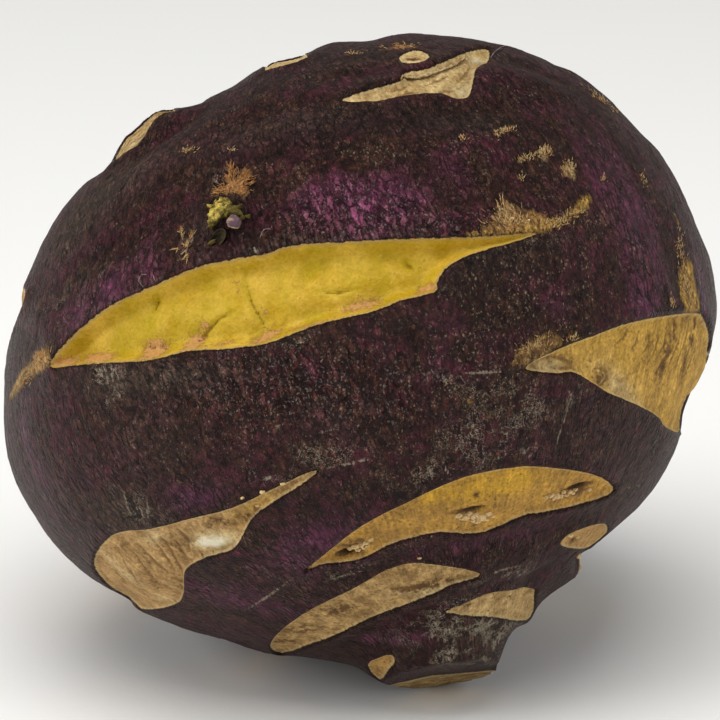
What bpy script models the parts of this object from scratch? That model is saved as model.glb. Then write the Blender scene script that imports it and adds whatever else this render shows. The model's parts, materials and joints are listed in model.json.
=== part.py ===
"""An old purple kohlrabi, dried and shrivelled, its leaves long fallen.

It grew as one piece: a swollen stem with leaf scars round it and the cut stub
of the root end. The model is one closed solid. Its surface is a distance from
the middle of the body for each direction, so every form on it is a term of
one formula: the round body, the stub, the outline, the scars, the folds.

The forms are worked out in a frame of the picture plane: right, up and toward
the viewer, in millimetres from the middle of the body. The finished solid is
then tipped to lie as it lies on a table, in metres, with +Z up.
"""
import math

import bmesh
import bpy
import numpy as np

NAME = "kohlrabi"
MM = 0.001

# The body, in millimetres
EQUATOR = 47.3
CROWN_HEIGHT = 38.0
ROOT_HEIGHT = 39.0
CROWN_FULLNESS = 2.2
ROOT_FULLNESS = 2.0
SURFACE_RADIUS = 44.0

# The crown: a shallow dip with the dried tip of the shoot in it
DIP_DEPTH = 1.6
DIP_WIDTH = math.radians(13.0)
TIP_HEIGHT = 1.5
TIP_WIDTH = math.radians(4.0)

# The stub of the root end and its cut face
STUB_HEIGHT = 7.6
STUB_WIDTH = math.radians(14.5)
STUB_AZIMUTH = math.radians(284.9)
STUB_FORWARD = math.radians(12.0)
CUT_AZIMUTH = math.radians(279.5)
CUT_FORWARD = math.radians(12.6)
CUT_DISTANCE = 43.9

# How the growth axis leans in the picture, and how the picture plane is
# tipped back when the body lies on the table
LEAN_LEFT = math.radians(17.0)
LEAN_BACK = math.radians(10.0)
TIPPED = math.radians(17.8)
FLAT_DEPTH = 0.45

# The spot that it lies on stands a little lower than the round body
SPOT_DEPTH = 1.5
SPOT_WIDTH = math.radians(12.0)

# Slow swellings of the shrunken body
LUMP_SEED = 11
LUMPS = 16
LUMP_HEIGHT = 0.75

# The picture that places are read from: its scale at the body's middle, the
# body's middle and the optical axis in it, and the distance of the eye
PIXEL = 0.13
MIDDLE = (356.0, 350.0)
OPTICAL_AXIS = (360.0, 360.0)
EYE_DISTANCE = 600.0

# How far round, toward and away from the viewer, the traced outline shapes
# the body: its broad sweep, and its small steps
SWEEP_REACH = math.radians(38.0)
STEP_REACH = math.radians(9.0)
SWEEP_SMOOTHING = 8
OUTLINE_ROUNDS = 3
OUTLINE_MOST = 5.0

# The mesh: squares along each edge of the starting cube, how close to a scar's
# edge they are split, how close to the gash's edge they are split again, and
# the angles round the stub and the bud within which they are split twice
CELLS = 20
SPLIT_WITHIN = 1.9
GASH_SPLIT_WITHIN = 1.3
STUB_SPLIT = math.radians(12.0)
BUD_SPLIT = math.radians(5.0)

OUTLINE = [
    (711, 350), (714, 334), (717, 318), (717, 302), (713, 271), (709, 255), (703, 241), (697, 226),
    (685, 197), (678, 182), (662, 155), (652, 143), (640, 132), (619, 109), (608, 98), (584, 78),
    (571, 70), (555, 65), (542, 58), (514, 47), (499, 44), (470, 38), (440, 35), (412, 33),
    (398, 34), (383, 37), (369, 41), (343, 41), (329, 43), (316, 48), (304, 55), (279, 61),
    (255, 71), (233, 86), (210, 97), (199, 104), (186, 107), (171, 109), (156, 112), (145, 120),
    (135, 129), (125, 138), (117, 150), (111, 162), (102, 172), (89, 180), (78, 190), (60, 212),
    (45, 237), (33, 263), (27, 277), (22, 291), (21, 306), (11, 335), (5, 365), (4, 396),
    (4, 428), (8, 460), (19, 490), (35, 517), (53, 543), (75, 566), (100, 584), (128, 599),
    (138, 610), (166, 622), (193, 632), (221, 639), (248, 648), (274, 655), (302, 657), (329, 661),
    (356, 667), (370, 676), (385, 684), (400, 686), (431, 687), (461, 684), (476, 680), (492, 675),
    (500, 659), (507, 640), (516, 628), (529, 622), (537, 608), (546, 598), (557, 590), (569, 582),
    (579, 573), (580, 555), (592, 548), (613, 530), (635, 511), (654, 489), (669, 464), (680, 437),
    (684, 408), (691, 394), (699, 380), (706, 365),
]

# Marks a point of a scar's edge that lies past the outline, on the far side
FAR = 1

# The leaf scars that face the viewer: edge in the picture, depth of the
# floor, height and width of the lip of skin round it, in millimetres
GASH = [
    (57, 366), (74, 340), (100, 316), (127, 300), (162, 285), (198, 269), (239, 260), (264, 256),
    (295, 247), (338, 244), (399, 241), (469, 240), (504, 238), (533, 236), (507, 246), (484, 252),
    (461, 260), (444, 270), (435, 284), (433, 293), (399, 302), (373, 312), (322, 324), (292, 335),
    (267, 344), (228, 349), (191, 351), (153, 360), (107, 363), (80, 365),
]
RIGHT_SCAR = [
    (525, 368), (556, 350), (598, 334), (629, 323), (671, 315), (698, 313), (708, 322, FAR),
    (704, 340, FAR), (696, 372, FAR), (684, 405, FAR), (680, 430, FAR), (680, 433), (666, 427),
    (657, 416), (635, 404), (605, 391), (576, 373), (556, 373),
]
LOWER_LEFT_SCAR = [
    (94, 563), (98, 550), (111, 536), (126, 531), (150, 529), (193, 518), (234, 507), (270, 490),
    (304, 474), (318, 471), (306, 481), (276, 500), (260, 511), (249, 523), (234, 548), (205, 558),
    (184, 572), (182, 595), (174, 606), (144, 610), (132, 603), (113, 590), (98, 574),
]
LOWER_RIGHT_SCAR = [
    (305, 573), (322, 557), (362, 526), (408, 502), (465, 477), (511, 468), (543, 467), (595, 475),
    (614, 491), (585, 504), (543, 513), (521, 517), (488, 534), (469, 536), (437, 533), (395, 543),
    (359, 561), (322, 566),
]
LOW_SCAR = [
    (270, 648), (279, 633), (312, 609), (357, 588), (397, 570), (429, 566), (479, 572), (451, 583),
    (415, 601), (375, 617), (339, 635), (308, 646), (283, 654),
]
STUB_SCAR = [
    (446, 614), (460, 605), (491, 592), (531, 591), (536, 597), (529, 621), (491, 616), (458, 616),
]
TOP_SCAR = [
    (345, 96), (363, 91), (401, 78), (426, 68), (462, 56), (487, 49), (505, 46), (490, 60),
    (473, 76), (471, 91), (456, 95), (432, 91), (401, 97), (368, 98),
]
CUSHION_SCAR = [
    (112, 163), (117, 152), (129, 133), (147, 119), (166, 111), (180, 112, FAR), (150, 132, FAR),
    (128, 156, FAR),
]
SMALL_RIGHT_SCAR = [(561, 545), (572, 534), (601, 524), (608, 528), (604, 536), (585, 549)]
FLANK_SCAR = [(368, 666), (377, 659), (391, 656), (395, 662), (388, 672), (380, 680)]
RIM_SCAR = [(265, 66), (284, 58), (308, 54), (300, 58, FAR), (280, 66, FAR)]
RING_SCAR = [(403, 57), (414, 52), (426, 57), (414, 62)]

FRONT_SCARS = [
    (GASH, 1.7, 0.9, 4.5),
    (RIGHT_SCAR, 0.55, 0.35, 2.5),
    (LOWER_LEFT_SCAR, 0.35, 0.3, 2.0),
    (LOWER_RIGHT_SCAR, 0.55, 0.35, 2.0),
    (LOW_SCAR, 0.45, 0.35, 2.0),
    (STUB_SCAR, 0.3, 0.3, 1.5),
    (TOP_SCAR, 0.7, 0.35, 2.0),
    (CUSHION_SCAR, 0.3, 0.5, 2.5),
    (SMALL_RIGHT_SCAR, 0.3, 0.25, 1.5),
    (FLANK_SCAR, 0.25, 0.25, 1.2),
    (RIM_SCAR, 0.3, 0.4, 1.5),
    (RING_SCAR, 0.25, 0.25, 1.0),
]

# Each leaf stood a golden angle round from the one below it. The gash is the
# scar of leaf 0, and the other scars that face the viewer fit the same rule,
# so the leaves on the hidden side and round the crown follow from it too.
# Each hidden leaf comes with its scar's share of the usual length.
GOLDEN_ANGLE = 137.508
GASH_LONGITUDE = -7.0
HIDDEN_LEAVES = {
    -9: 0.6, -6: 0.5, -4: 0.9, -1: 1.0, 1: 0.9, 2: 1.0, 4: 1.0, 6: 1.1, 7: 0.9, 9: 0.9, 11: 0.9, 12: 0.8,
}
LEAF_AT = [-11, -5, 0, 3, 5, 8, 14]
LATITUDE_AT = [-74.0, -46.0, 1.0, 33.0, 52.0, 66.0, 82.0]
HALF_ANGLE_AT = [40.0, 40.0, 36.0, 25.0, 22.0, 18.0, 16.0]
HALF_HEIGHT_AT = [2.2, 3.8, 4.2, 3.0, 2.2, 1.6, 1.0]
SCAR_SEED = 5
HIDDEN_SCAR_SIZES = (0.5, 0.35, 2.0)

# Folds and dents of the skin: path in the picture, width, height
FOLDS = [
    ([(80, 262), (117, 243), (149, 224), (181, 207)], 2.2, -0.7),
    ([(100, 205), (140, 180), (190, 158)], 4.0, 0.5),
    ([(130, 160), (160, 133), (200, 110)], 2.6, -1.2),
    ([(213, 142), (260, 112), (330, 98)], 2.4, -0.6),
    ([(335, 106), (400, 112), (450, 108), (525, 104)], 2.6, -0.9),
    ([(480, 62), (520, 62), (560, 80)], 1.6, -0.45),
    ([(470, 78), (520, 76), (570, 98)], 1.6, 0.4),
    ([(300, 80), (350, 72), (420, 62)], 1.6, -0.5),
    ([(440, 300), (500, 276), (560, 262)], 7.0, 0.8),
    ([(300, 575), (360, 574), (440, 552), (540, 532), (600, 512)], 2.6, -0.8),
    ([(440, 588), (500, 572), (556, 560)], 2.4, 0.45),
    ([(330, 650), (400, 626), (440, 622), (470, 634)], 2.6, -0.7),
    ([(540, 610), (528, 586), (556, 566)], 2.2, -0.6),
    ([(412, 330), (414, 350)], 1.6, -0.35),
    ([(185, 560), (200, 600), (196, 626)], 4.0, -0.5),
    ([(320, 470), (390, 452), (440, 440)], 1.8, -0.3),
    ([(30, 300), (55, 345), (40, 372)], 3.0, 0.5),
    ([(640, 200), (672, 250), (690, 300)], 3.5, -0.5),
]

# Small raised things: middle in the picture, reach along and across, the
# angle of its length in degrees, height
KNOBS = [
    ((229, 214), 2.3, 1.5, 60, 1.5),
    ((238, 227), 0.9, 0.9, 0, 1.2),
    ((601, 377), 1.1, 1.1, 0, 0.5),
    ((581, 568), 1.6, 1.1, 60, 0.8),
    ((220, 238), 1.6, 1.2, 30, -0.9),
    ((135, 575), 4.5, 3.2, 20, 0.7),
    ((213, 540), 2.0, 0.9, 0, 0.3),
    ((475, 515), 1.6, 0.7, 10, -0.4),
    ((345, 556), 1.6, 0.7, 30, -0.5),
    ((583, 488), 1.8, 0.6, 10, -0.35),
]


def unit(vectors):
    return vectors / np.linalg.norm(vectors, axis=-1, keepdims=True)


def direction(azimuth, forward):
    """Direction at an angle round the picture, turned toward the viewer."""
    flat = np.cos(forward)
    return np.stack([flat * np.cos(azimuth), flat * np.sin(azimuth), np.sin(forward) + 0 * azimuth], axis=-1)


CROWN_AXIS = direction(np.pi / 2 + LEAN_LEFT, -LEAN_BACK)
STUB_AXIS = direction(np.float64(STUB_AZIMUTH), STUB_FORWARD)
CUT_NORMAL = direction(np.float64(CUT_AZIMUTH), CUT_FORWARD)
DOWN = np.array([0.0, -math.cos(TIPPED), -math.sin(TIPPED)])
FRONT = unit(np.array([0.0, 0.0, 1.0]) - CROWN_AXIS[2] * CROWN_AXIS)
SIDE = np.cross(CROWN_AXIS, FRONT)
EYE = np.array([
    (OPTICAL_AXIS[0] - MIDDLE[0]) * PIXEL,
    (MIDDLE[1] - OPTICAL_AXIS[1]) * PIXEL,
    EYE_DISTANCE,
])


def angle_from(directions, axis):
    return np.arccos(np.clip(directions @ axis, -1, 1))


def lumps(directions):
    """Slow swellings: a few waves that run across the body in seeded directions."""
    draw = np.random.default_rng(LUMP_SEED)
    height = np.zeros(directions.shape[:-1])
    for _ in range(LUMPS):
        wave = unit(draw.normal(size=3)) * draw.uniform(2.5, 7.0)
        height += np.cos(directions @ wave + draw.uniform(0, 2 * np.pi)) / np.linalg.norm(wave)
    return LUMP_HEIGHT * height


def round_body(directions):
    """The swollen stem, its crown dip and its stub, before the outline shapes it."""
    along = directions @ CROWN_AXIS
    across = np.sqrt(np.maximum(1 - along ** 2, 0))
    height = np.where(along > 0, CROWN_HEIGHT, ROOT_HEIGHT)
    fullness = np.where(along > 0, CROWN_FULLNESS, ROOT_FULLNESS)
    radius = ((across / EQUATOR) ** fullness + (np.abs(along) / height) ** fullness) ** (-1 / fullness)
    from_crown = angle_from(directions, CROWN_AXIS)
    radius -= DIP_DEPTH * np.exp(-(from_crown / DIP_WIDTH) ** 2)
    radius += TIP_HEIGHT * np.exp(-(from_crown / TIP_WIDTH) ** 2)
    from_stub = angle_from(directions, STUB_AXIS)
    radius += STUB_HEIGHT / (1 + (from_stub / STUB_WIDTH) ** 4)
    radius += SPOT_DEPTH * np.exp(-(angle_from(directions, DOWN) / SPOT_WIDTH) ** 2)
    return radius + lumps(directions)


def cut_stub(directions, radius):
    """The flat face where the root end was cut."""
    facing = directions @ CUT_NORMAL
    reach = CUT_DISTANCE / np.maximum(facing, 0.5)
    return np.where(facing > 0.5, np.minimum(radius, reach), radius)


def smooth_path(points, closed, steps):
    """A Catmull-Rom curve through the points, with steps points to a span."""
    points = np.asarray(points, float)
    if closed:
        before, start, end, after = (np.roll(points, shift, axis=0) for shift in (1, 0, -1, -2))
    else:
        padded = np.vstack([2 * points[0] - points[1], points, 2 * points[-1] - points[-2]])
        before, start, end, after = padded[:-3], padded[1:-2], padded[2:-1], padded[3:]
    curve = []
    for t in np.arange(steps) / steps:
        part = 2 * start + (end - before) * t + (2 * before - 5 * start + 4 * end - after) * t ** 2
        curve.append(0.5 * (part + (3 * start - before - 3 * end + after) * t ** 3))
    curve = np.stack(curve, axis=1).reshape(-1, points.shape[1])
    return curve if closed else np.vstack([curve, points[-1]])


def in_plane(pixels):
    """Picture places as millimetres right of and above the body's middle."""
    pixels = np.asarray(pixels, float)
    return np.stack([(pixels[..., 0] - MIDDLE[0]) * PIXEL, (MIDDLE[1] - pixels[..., 1]) * PIXEL], axis=-1)


def traced_reach(azimuths):
    """How far the traced outline is from the middle at each angle round it."""
    traced = in_plane(smooth_path(OUTLINE, True, 4))
    angles = np.arctan2(traced[:, 1], traced[:, 0])
    order = np.argsort(angles)
    return np.interp(azimuths, angles[order], np.hypot(*traced.T)[order], period=2 * np.pi)


OUTLINE_ANGLES = np.radians(np.arange(0.0, 360.0, 1.0))


def seen_reach(radius_of):
    """The outline that the eye sees of a body: its reach and depth at each angle."""
    depths = np.radians(np.arange(-30.0, 40.0, 1.0))
    azimuth, depth = np.meshgrid(OUTLINE_ANGLES, depths, indexing="ij")
    directions = direction(azimuth, depth).reshape(-1, 3)
    points = directions * radius_of(directions)[:, None]
    scale = EYE[2] / (EYE[2] - points[:, 2])
    seen = EYE[:2] + (points[:, :2] - EYE[:2]) * scale[:, None]
    reach = np.hypot(seen[:, 0], seen[:, 1]).reshape(azimuth.shape)
    best = np.argmax(reach, axis=1)
    return reach[np.arange(len(best)), best], depths[best]


def around_mean(values, width):
    """A moving mean round the ring of outline angles, weighted as a bell."""
    offsets = np.arange(-3 * width, 3 * width + 1)
    weights = np.exp(-0.5 * (offsets / width) ** 2)
    return sum(w * np.roll(values, o) for w, o in zip(weights, offsets)) / weights.sum()


class Outline:
    """What the traced outline adds to the round body, near the edge of its view."""

    def __init__(self):
        self.wanted = traced_reach(OUTLINE_ANGLES)
        self.added = np.zeros(len(OUTLINE_ANGLES))
        self.broad = self.added
        self.depth = around_mean(seen_reach(round_body)[1], SWEEP_SMOOTHING)

    def fit(self, radius_of):
        """Bring the outline that the eye sees of a body to the traced one."""
        for _ in range(OUTLINE_ROUNDS):
            missing = self.wanted - seen_reach(radius_of)[0]
            self.added = np.clip(self.added + missing, -OUTLINE_MOST, OUTLINE_MOST)
            self.broad = around_mean(self.added, SWEEP_SMOOTHING)

    def add(self, directions):
        azimuth = np.arctan2(directions[..., 1], directions[..., 0])
        forward = np.arcsin(np.clip(directions[..., 2], -1, 1))

        def at(values):
            return np.interp(azimuth, OUTLINE_ANGLES, values, period=2 * np.pi)

        away = forward - at(self.depth)
        broad = at(self.broad)
        return (broad * np.exp(-(away / SWEEP_REACH) ** 2)
                + (at(self.added) - broad) * np.exp(-(away / STEP_REACH) ** 2))


OUTLINE_SHAPE = Outline()


def skin_radius(directions):
    """The body without scars and folds."""
    return cut_stub(directions, round_body(directions) + OUTLINE_SHAPE.add(directions))


OUTLINE_SHAPE.fit(skin_radius)


def on_body(places):
    """Directions to the places on the body that picture places show.

    Each place is looked up along its line of sight, where that line first
    meets the body, or where it leaves it for a place marked FAR.
    """
    flat = in_plane([place[:2] for place in places])
    far = np.array([len(place) > 2 for place in places])
    forward = np.linspace(58.0, -58.0, 581)
    scale = (EYE[2] - forward) / EYE[2]
    sight = np.empty((len(flat), len(forward), 3))
    sight[..., :2] = EYE[:2] + (flat[:, None, :] - EYE[:2]) * scale[:, None]
    sight[..., 2] = forward
    outside = np.linalg.norm(sight, axis=-1) - skin_radius(unit(sight))
    within = outside < 0
    first = np.argmax(within, axis=1)
    last = len(forward) - 1 - np.argmax(within[:, ::-1], axis=1)
    chosen = np.where(far, last, first)
    chosen = np.where(within.any(axis=1), chosen, np.argmin(outside, axis=1))
    return unit(sight[np.arange(len(flat)), chosen])


class Chart:
    """A flat map of the body's surface round one direction, in millimetres."""

    def __init__(self, middle):
        self.middle = unit(middle)
        self.right = unit(np.cross([0.0, 1.0, 0.0], self.middle))
        self.up = np.cross(self.middle, self.right)

    def flat(self, directions):
        across = directions @ self.right
        up = directions @ self.up
        size = np.maximum(np.hypot(across, up), 1e-12)
        arc = np.arctan2(size, directions @ self.middle) * SURFACE_RADIUS
        return np.stack([across / size * arc, up / size * arc], axis=-1)


def path_distance(points, path, closed):
    """Distance from each point to a path, and where along the path that is.

    For a closed path the distance is negative inside it.
    """
    nearest = np.full(len(points), np.inf)
    where = np.zeros(len(points))
    inside = np.zeros(len(points), bool)
    ends = np.roll(path, -1, axis=0) if closed else path[1:]
    for index, (start, end) in enumerate(zip(path, ends)):
        step = end - start
        away = points - start
        share = np.clip(away @ step / max(step @ step, 1e-12), 0, 1)
        gap = np.hypot(away[:, 0] - share * step[0], away[:, 1] - share * step[1])
        closer = gap < nearest
        nearest = np.where(closer, gap, nearest)
        where = np.where(closer, (index + share) / len(ends), where)
        if closed and step[1] != 0:
            level = (start[1] > points[:, 1]) != (end[1] > points[:, 1])
            inside ^= level & (points[:, 0] < start[0] + (points[:, 1] - start[1]) * step[0] / step[1])
    return np.where(inside, -nearest, nearest), where


class Scar:
    """A leaf scar: a floor sunk inside a closed edge, with a lip of skin round it."""

    def __init__(self, edge, sink, lip, lip_width):
        self.edge = unit(edge)
        self.sink = sink
        self.lip = lip
        self.lip_width = lip_width
        self.chart = Chart(self.edge.mean(axis=0))
        self.loop = self.chart.flat(self.edge)
        self.reach = angle_from(self.edge, self.chart.middle).max()

    def distance(self, directions):
        """Distance to the scar's edge in millimetres, negative inside, large far away."""
        result = np.full(len(directions), 99.0)
        near = angle_from(directions, self.chart.middle) < self.reach + 0.35
        if near.any():
            result[near] = path_distance(self.chart.flat(directions[near]), self.loop, True)[0]
        return result

    def height(self, distance):
        floor = np.clip(0.5 - distance / (2 * self.wall()), 0, 1)
        floor = floor * floor * (3 - 2 * floor)
        lip = np.exp(-(np.maximum(distance, 0) / self.lip_width) ** 2)
        return self.lip * lip * (1 - floor) - self.sink * floor

    def wall(self):
        return 0.35 + 0.35 * self.sink


def axis_direction(longitude, latitude):
    """Directions at longitudes and latitudes of the growth axis, longitude 0 facing the viewer."""
    turned = np.outer(np.cos(longitude), FRONT) + np.outer(np.sin(longitude), SIDE)
    return np.cos(latitude)[:, None] * turned + np.outer(np.sin(latitude), CROWN_AXIS)


def ruled_scar(leaf, draw):
    """The lens-shaped scar of a leaf on the hidden side, lying along its latitude."""
    longitude = math.radians(GASH_LONGITUDE + leaf * GOLDEN_ANGLE)
    latitude = math.radians(np.interp(leaf, LEAF_AT, LATITUDE_AT))
    half_angle = math.radians(np.interp(leaf, LEAF_AT, HALF_ANGLE_AT)) * HIDDEN_LEAVES[leaf]
    half_height = np.interp(leaf, LEAF_AT, HALF_HEIGHT_AT) * draw.uniform(0.8, 1.2)
    slope = draw.uniform(-0.06, 0.06)
    start = draw.uniform(0, 2 * np.pi, size=3)
    turn = np.linspace(0, 2 * np.pi, 32, endpoint=False)
    across = np.cos(turn)
    pinched = np.abs(np.sin(turn)) ** 1.4 * np.sign(np.sin(turn))
    up = half_height * pinched * (1 + 0.16 * np.cos(2 * turn + start[0]) + 0.1 * np.cos(5 * turn + start[1]))
    up = up + 0.6 * np.cos(2.2 * across + start[2])
    return axis_direction(longitude + half_angle * across, latitude + slope * across + up / SURFACE_RADIUS)


def hidden_scars():
    draw = np.random.default_rng(SCAR_SEED)
    return [Scar(ruled_scar(leaf, draw), *HIDDEN_SCAR_SIZES) for leaf in HIDDEN_LEAVES]


class Fold:
    """A groove or a ridge of skin along a path, fading out at its ends."""

    def __init__(self, places, width, height):
        self.path = on_body([tuple(place) for place in smooth_path(places, False, 6)])
        self.width = width
        self.raised = height
        self.chart = Chart(self.path.mean(axis=0))
        self.line = self.chart.flat(self.path)
        self.reach = angle_from(self.path, self.chart.middle).max() + 3 * width / SURFACE_RADIUS

    def height(self, directions):
        result = np.zeros(len(directions))
        near = angle_from(directions, self.chart.middle) < self.reach
        if near.any():
            away, where = path_distance(self.chart.flat(directions[near]), self.line, False)
            fade = np.sin(np.pi * np.clip(0.12 + 0.76 * where, 0, 1))
            result[near] = self.raised * fade * np.exp(-(away / self.width) ** 2)
        return result


class Knob:
    """A small round or long swelling, or a pit where its height is negative."""

    def __init__(self, place, along, across, turned, height):
        self.chart = Chart(on_body([place])[0])
        self.turned = math.radians(turned)
        self.along = along
        self.across = across
        self.raised = height

    def height(self, directions):
        flat = self.chart.flat(directions)
        cosine, sine = math.cos(self.turned), math.sin(self.turned)
        along = (flat[:, 0] * cosine + flat[:, 1] * sine) / self.along
        across = (flat[:, 1] * cosine - flat[:, 0] * sine) / self.across
        return self.raised * np.exp(-along ** 2 - across ** 2)


def scar_edge(places):
    """The smooth edge of a traced scar, as directions on the body."""
    marked = [(place[0], place[1], len(place) > 2) for place in places]
    curve = smooth_path(marked, True, 5)
    return on_body([(x, y, FAR) if far > 0.5 else (x, y) for x, y, far in curve])


SCARS = [Scar(scar_edge(places), *sizes) for places, *sizes in FRONT_SCARS] + hidden_scars()
FOLD_FORMS = [Fold(*fold) for fold in FOLDS]
KNOB_FORMS = [Knob(*knob) for knob in KNOBS]


def surface_radius(directions):
    """Distance from the middle to the surface in each direction."""
    radius = round_body(directions) + OUTLINE_SHAPE.add(directions)
    for form in FOLD_FORMS + KNOB_FORMS:
        radius += form.height(directions)
    for scar in SCARS:
        radius += scar.height(scar.distance(directions))
    return cut_stub(directions, radius)


OUTLINE_SHAPE.fit(surface_radius)


def near_scar_edge(directions):
    return np.min([np.abs(scar.distance(directions)) for scar in SCARS], axis=0) < SPLIT_WITHIN


def near_gash_edge(directions):
    return np.abs(SCARS[0].distance(directions)) < GASH_SPLIT_WITHIN


def near_stub(directions):
    return angle_from(directions, STUB_AXIS) < STUB_SPLIT


def near_bud(directions):
    return angle_from(directions, KNOB_FORMS[0].chart.middle) < BUD_SPLIT


def coordinates(bm):
    return np.array([vertex.co for vertex in bm.verts])


def move_to_sphere(bm):
    for vertex in bm.verts:
        vertex.co.normalize()


def even_ball():
    """A cube split into squares and blown up to a ball of nearly even squares."""
    bm = bmesh.new()
    bmesh.ops.create_cube(bm, size=2.0)
    bmesh.ops.subdivide_edges(bm, edges=bm.edges[:], cuts=CELLS - 1, use_grid_fill=True)
    for vertex in bm.verts:
        vertex.co = [math.tan(value * math.pi / 4) for value in vertex.co]
    move_to_sphere(bm)
    return bm


def split_near(bm, wanted):
    """Split the squares whose middle direction is wanted."""
    middles = unit(np.array([face.calc_center_median() for face in bm.faces]))
    chosen = wanted(middles)
    edges = {edge for face, pick in zip(bm.faces, chosen) if pick for edge in face.edges}
    bmesh.ops.subdivide_edges(bm, edges=list(edges), cuts=1, use_grid_fill=True)
    move_to_sphere(bm)


def to_table(points):
    """Tip the body from the picture plane to how it lies, still in millimetres."""
    sine, cosine = math.sin(TIPPED), math.cos(TIPPED)
    right, up, forward = points.T
    return np.stack([right, up * sine - forward * cosine, up * cosine + forward * sine], axis=1)


def settle(points):
    """Flatten the lowest spot and set the box's bottom middle at the origin."""
    floor = points[:, 2].min() + FLAT_DEPTH
    points[:, 2] = np.maximum(points[:, 2], floor) - floor
    middle = (points.min(axis=0) + points.max(axis=0)) / 2
    points[:, :2] -= middle[:2]
    return points


def skin_material():
    material = bpy.data.materials.new("dried_purple_skin")
    material.use_nodes = True
    shader = material.node_tree.nodes["Principled BSDF"]
    shader.inputs["Base Color"].default_value = (0.042, 0.022, 0.026, 1.0)
    shader.inputs["Roughness"].default_value = 0.55
    shader.inputs["Metallic"].default_value = 0.0
    return material


def build_kohlrabi():
    bm = even_ball()
    split_near(bm, lambda middles: near_scar_edge(middles) | near_stub(middles) | near_bud(middles))
    split_near(bm, lambda middles: near_gash_edge(middles) | near_stub(middles) | near_bud(middles))
    directions = coordinates(bm)
    points = directions * surface_radius(directions)[:, None]
    for vertex, place in zip(bm.verts, settle(to_table(points)) * MM):
        vertex.co = place
    bmesh.ops.triangulate(bm, faces=bm.faces[:])
    bmesh.ops.recalc_face_normals(bm, faces=bm.faces[:])
    mesh = bpy.data.meshes.new(NAME)
    bm.to_mesh(mesh)
    bm.free()
    mesh.shade_smooth()
    mesh.materials.append(skin_material())
    body = bpy.data.objects.new(NAME, mesh)
    bpy.context.scene.collection.objects.link(body)
    return body


def main():
    for old in list(bpy.data.objects):
        bpy.data.objects.remove(old, do_unlink=True)
    build_kohlrabi()


if __name__ == "__main__":
    main()
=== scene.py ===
"""An old purple kohlrabi, dried and shrivelled, its leaves long fallen, in a plain studio.

The body grew as one piece, so it is one mesh. Its surface is a distance from the
middle of the body for each direction: the round body, the stub, the outline, the
leaf scars and the folds, as in the solid that it stands for, with the finer relief
of wrinkles, flesh, fibres and crumbs on top. Forms are worked out in a frame of the
picture plane: right, up and toward the viewer, in millimetres from the middle of the
body. The body is then tipped to lie as it lies on a table, in metres, with +Z up.
"""

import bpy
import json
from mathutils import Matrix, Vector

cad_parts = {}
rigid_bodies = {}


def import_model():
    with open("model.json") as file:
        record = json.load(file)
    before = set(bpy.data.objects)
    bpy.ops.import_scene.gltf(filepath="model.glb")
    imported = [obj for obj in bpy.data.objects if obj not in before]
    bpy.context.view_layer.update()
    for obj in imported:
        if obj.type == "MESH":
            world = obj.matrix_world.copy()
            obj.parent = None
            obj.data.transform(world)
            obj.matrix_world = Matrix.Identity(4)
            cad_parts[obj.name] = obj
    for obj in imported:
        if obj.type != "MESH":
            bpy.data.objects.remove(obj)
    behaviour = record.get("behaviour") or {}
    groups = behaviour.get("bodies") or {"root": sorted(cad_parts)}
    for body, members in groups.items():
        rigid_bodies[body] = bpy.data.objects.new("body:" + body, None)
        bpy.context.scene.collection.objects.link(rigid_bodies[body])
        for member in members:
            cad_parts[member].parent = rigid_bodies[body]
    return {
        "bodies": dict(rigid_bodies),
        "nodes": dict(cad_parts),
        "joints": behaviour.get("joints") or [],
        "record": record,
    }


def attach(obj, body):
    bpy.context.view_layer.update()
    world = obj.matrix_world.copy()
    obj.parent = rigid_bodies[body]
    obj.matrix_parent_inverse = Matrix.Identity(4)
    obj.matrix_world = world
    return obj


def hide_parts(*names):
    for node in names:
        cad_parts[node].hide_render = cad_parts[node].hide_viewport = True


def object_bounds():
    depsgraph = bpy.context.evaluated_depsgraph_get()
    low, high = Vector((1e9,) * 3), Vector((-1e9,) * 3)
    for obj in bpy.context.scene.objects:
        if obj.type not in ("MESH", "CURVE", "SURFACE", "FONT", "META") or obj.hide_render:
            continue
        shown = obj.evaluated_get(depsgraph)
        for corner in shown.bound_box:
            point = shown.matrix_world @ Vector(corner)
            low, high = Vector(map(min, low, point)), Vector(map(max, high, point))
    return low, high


bl_info = {
    "name": "Dried Purple Kohlrabi",
    "version": (1, 0, 0),
    "blender": (4, 5, 0),
    "location": "3D View > Sidebar > Kohlrabi",
    "description": "Models an old purple kohlrabi with its scars, its bud and a studio",
    "category": "Add Mesh",
}

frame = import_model()
CAD_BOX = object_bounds()

import json
import math
from functools import partial

import bpy
import numpy as np
from bpy.props import FloatProperty, FloatVectorProperty, IntProperty, PointerProperty
from mathutils import Matrix, Vector, noise

NODE = "kohlrabi"
BODY = "root"
MM = 0.001

# The body, in millimetres
EQUATOR = 47.3
CROWN_HEIGHT = 38.0
ROOT_HEIGHT = 39.0
CROWN_FULLNESS = 2.2
ROOT_FULLNESS = 2.0
SURFACE_RADIUS = 44.0

# The crown: a shallow dip with the dried tip of the shoot in it
DIP_DEPTH = 1.6
DIP_WIDTH = math.radians(13.0)
TIP_HEIGHT = 1.5
TIP_WIDTH = math.radians(4.0)

# The stub of the root end and its cut face
STUB_HEIGHT = 7.6
STUB_WIDTH = math.radians(14.5)
STUB_AZIMUTH = math.radians(284.9)
STUB_FORWARD = math.radians(12.0)
CUT_AZIMUTH = math.radians(279.5)
CUT_FORWARD = math.radians(12.6)
CUT_DISTANCE = 43.9

# The least cosine to the cut's normal at which the cut is met, and the distance given
# where it isn't
CUT_FACING = 0.5
NOT_MET = 999.0

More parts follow.
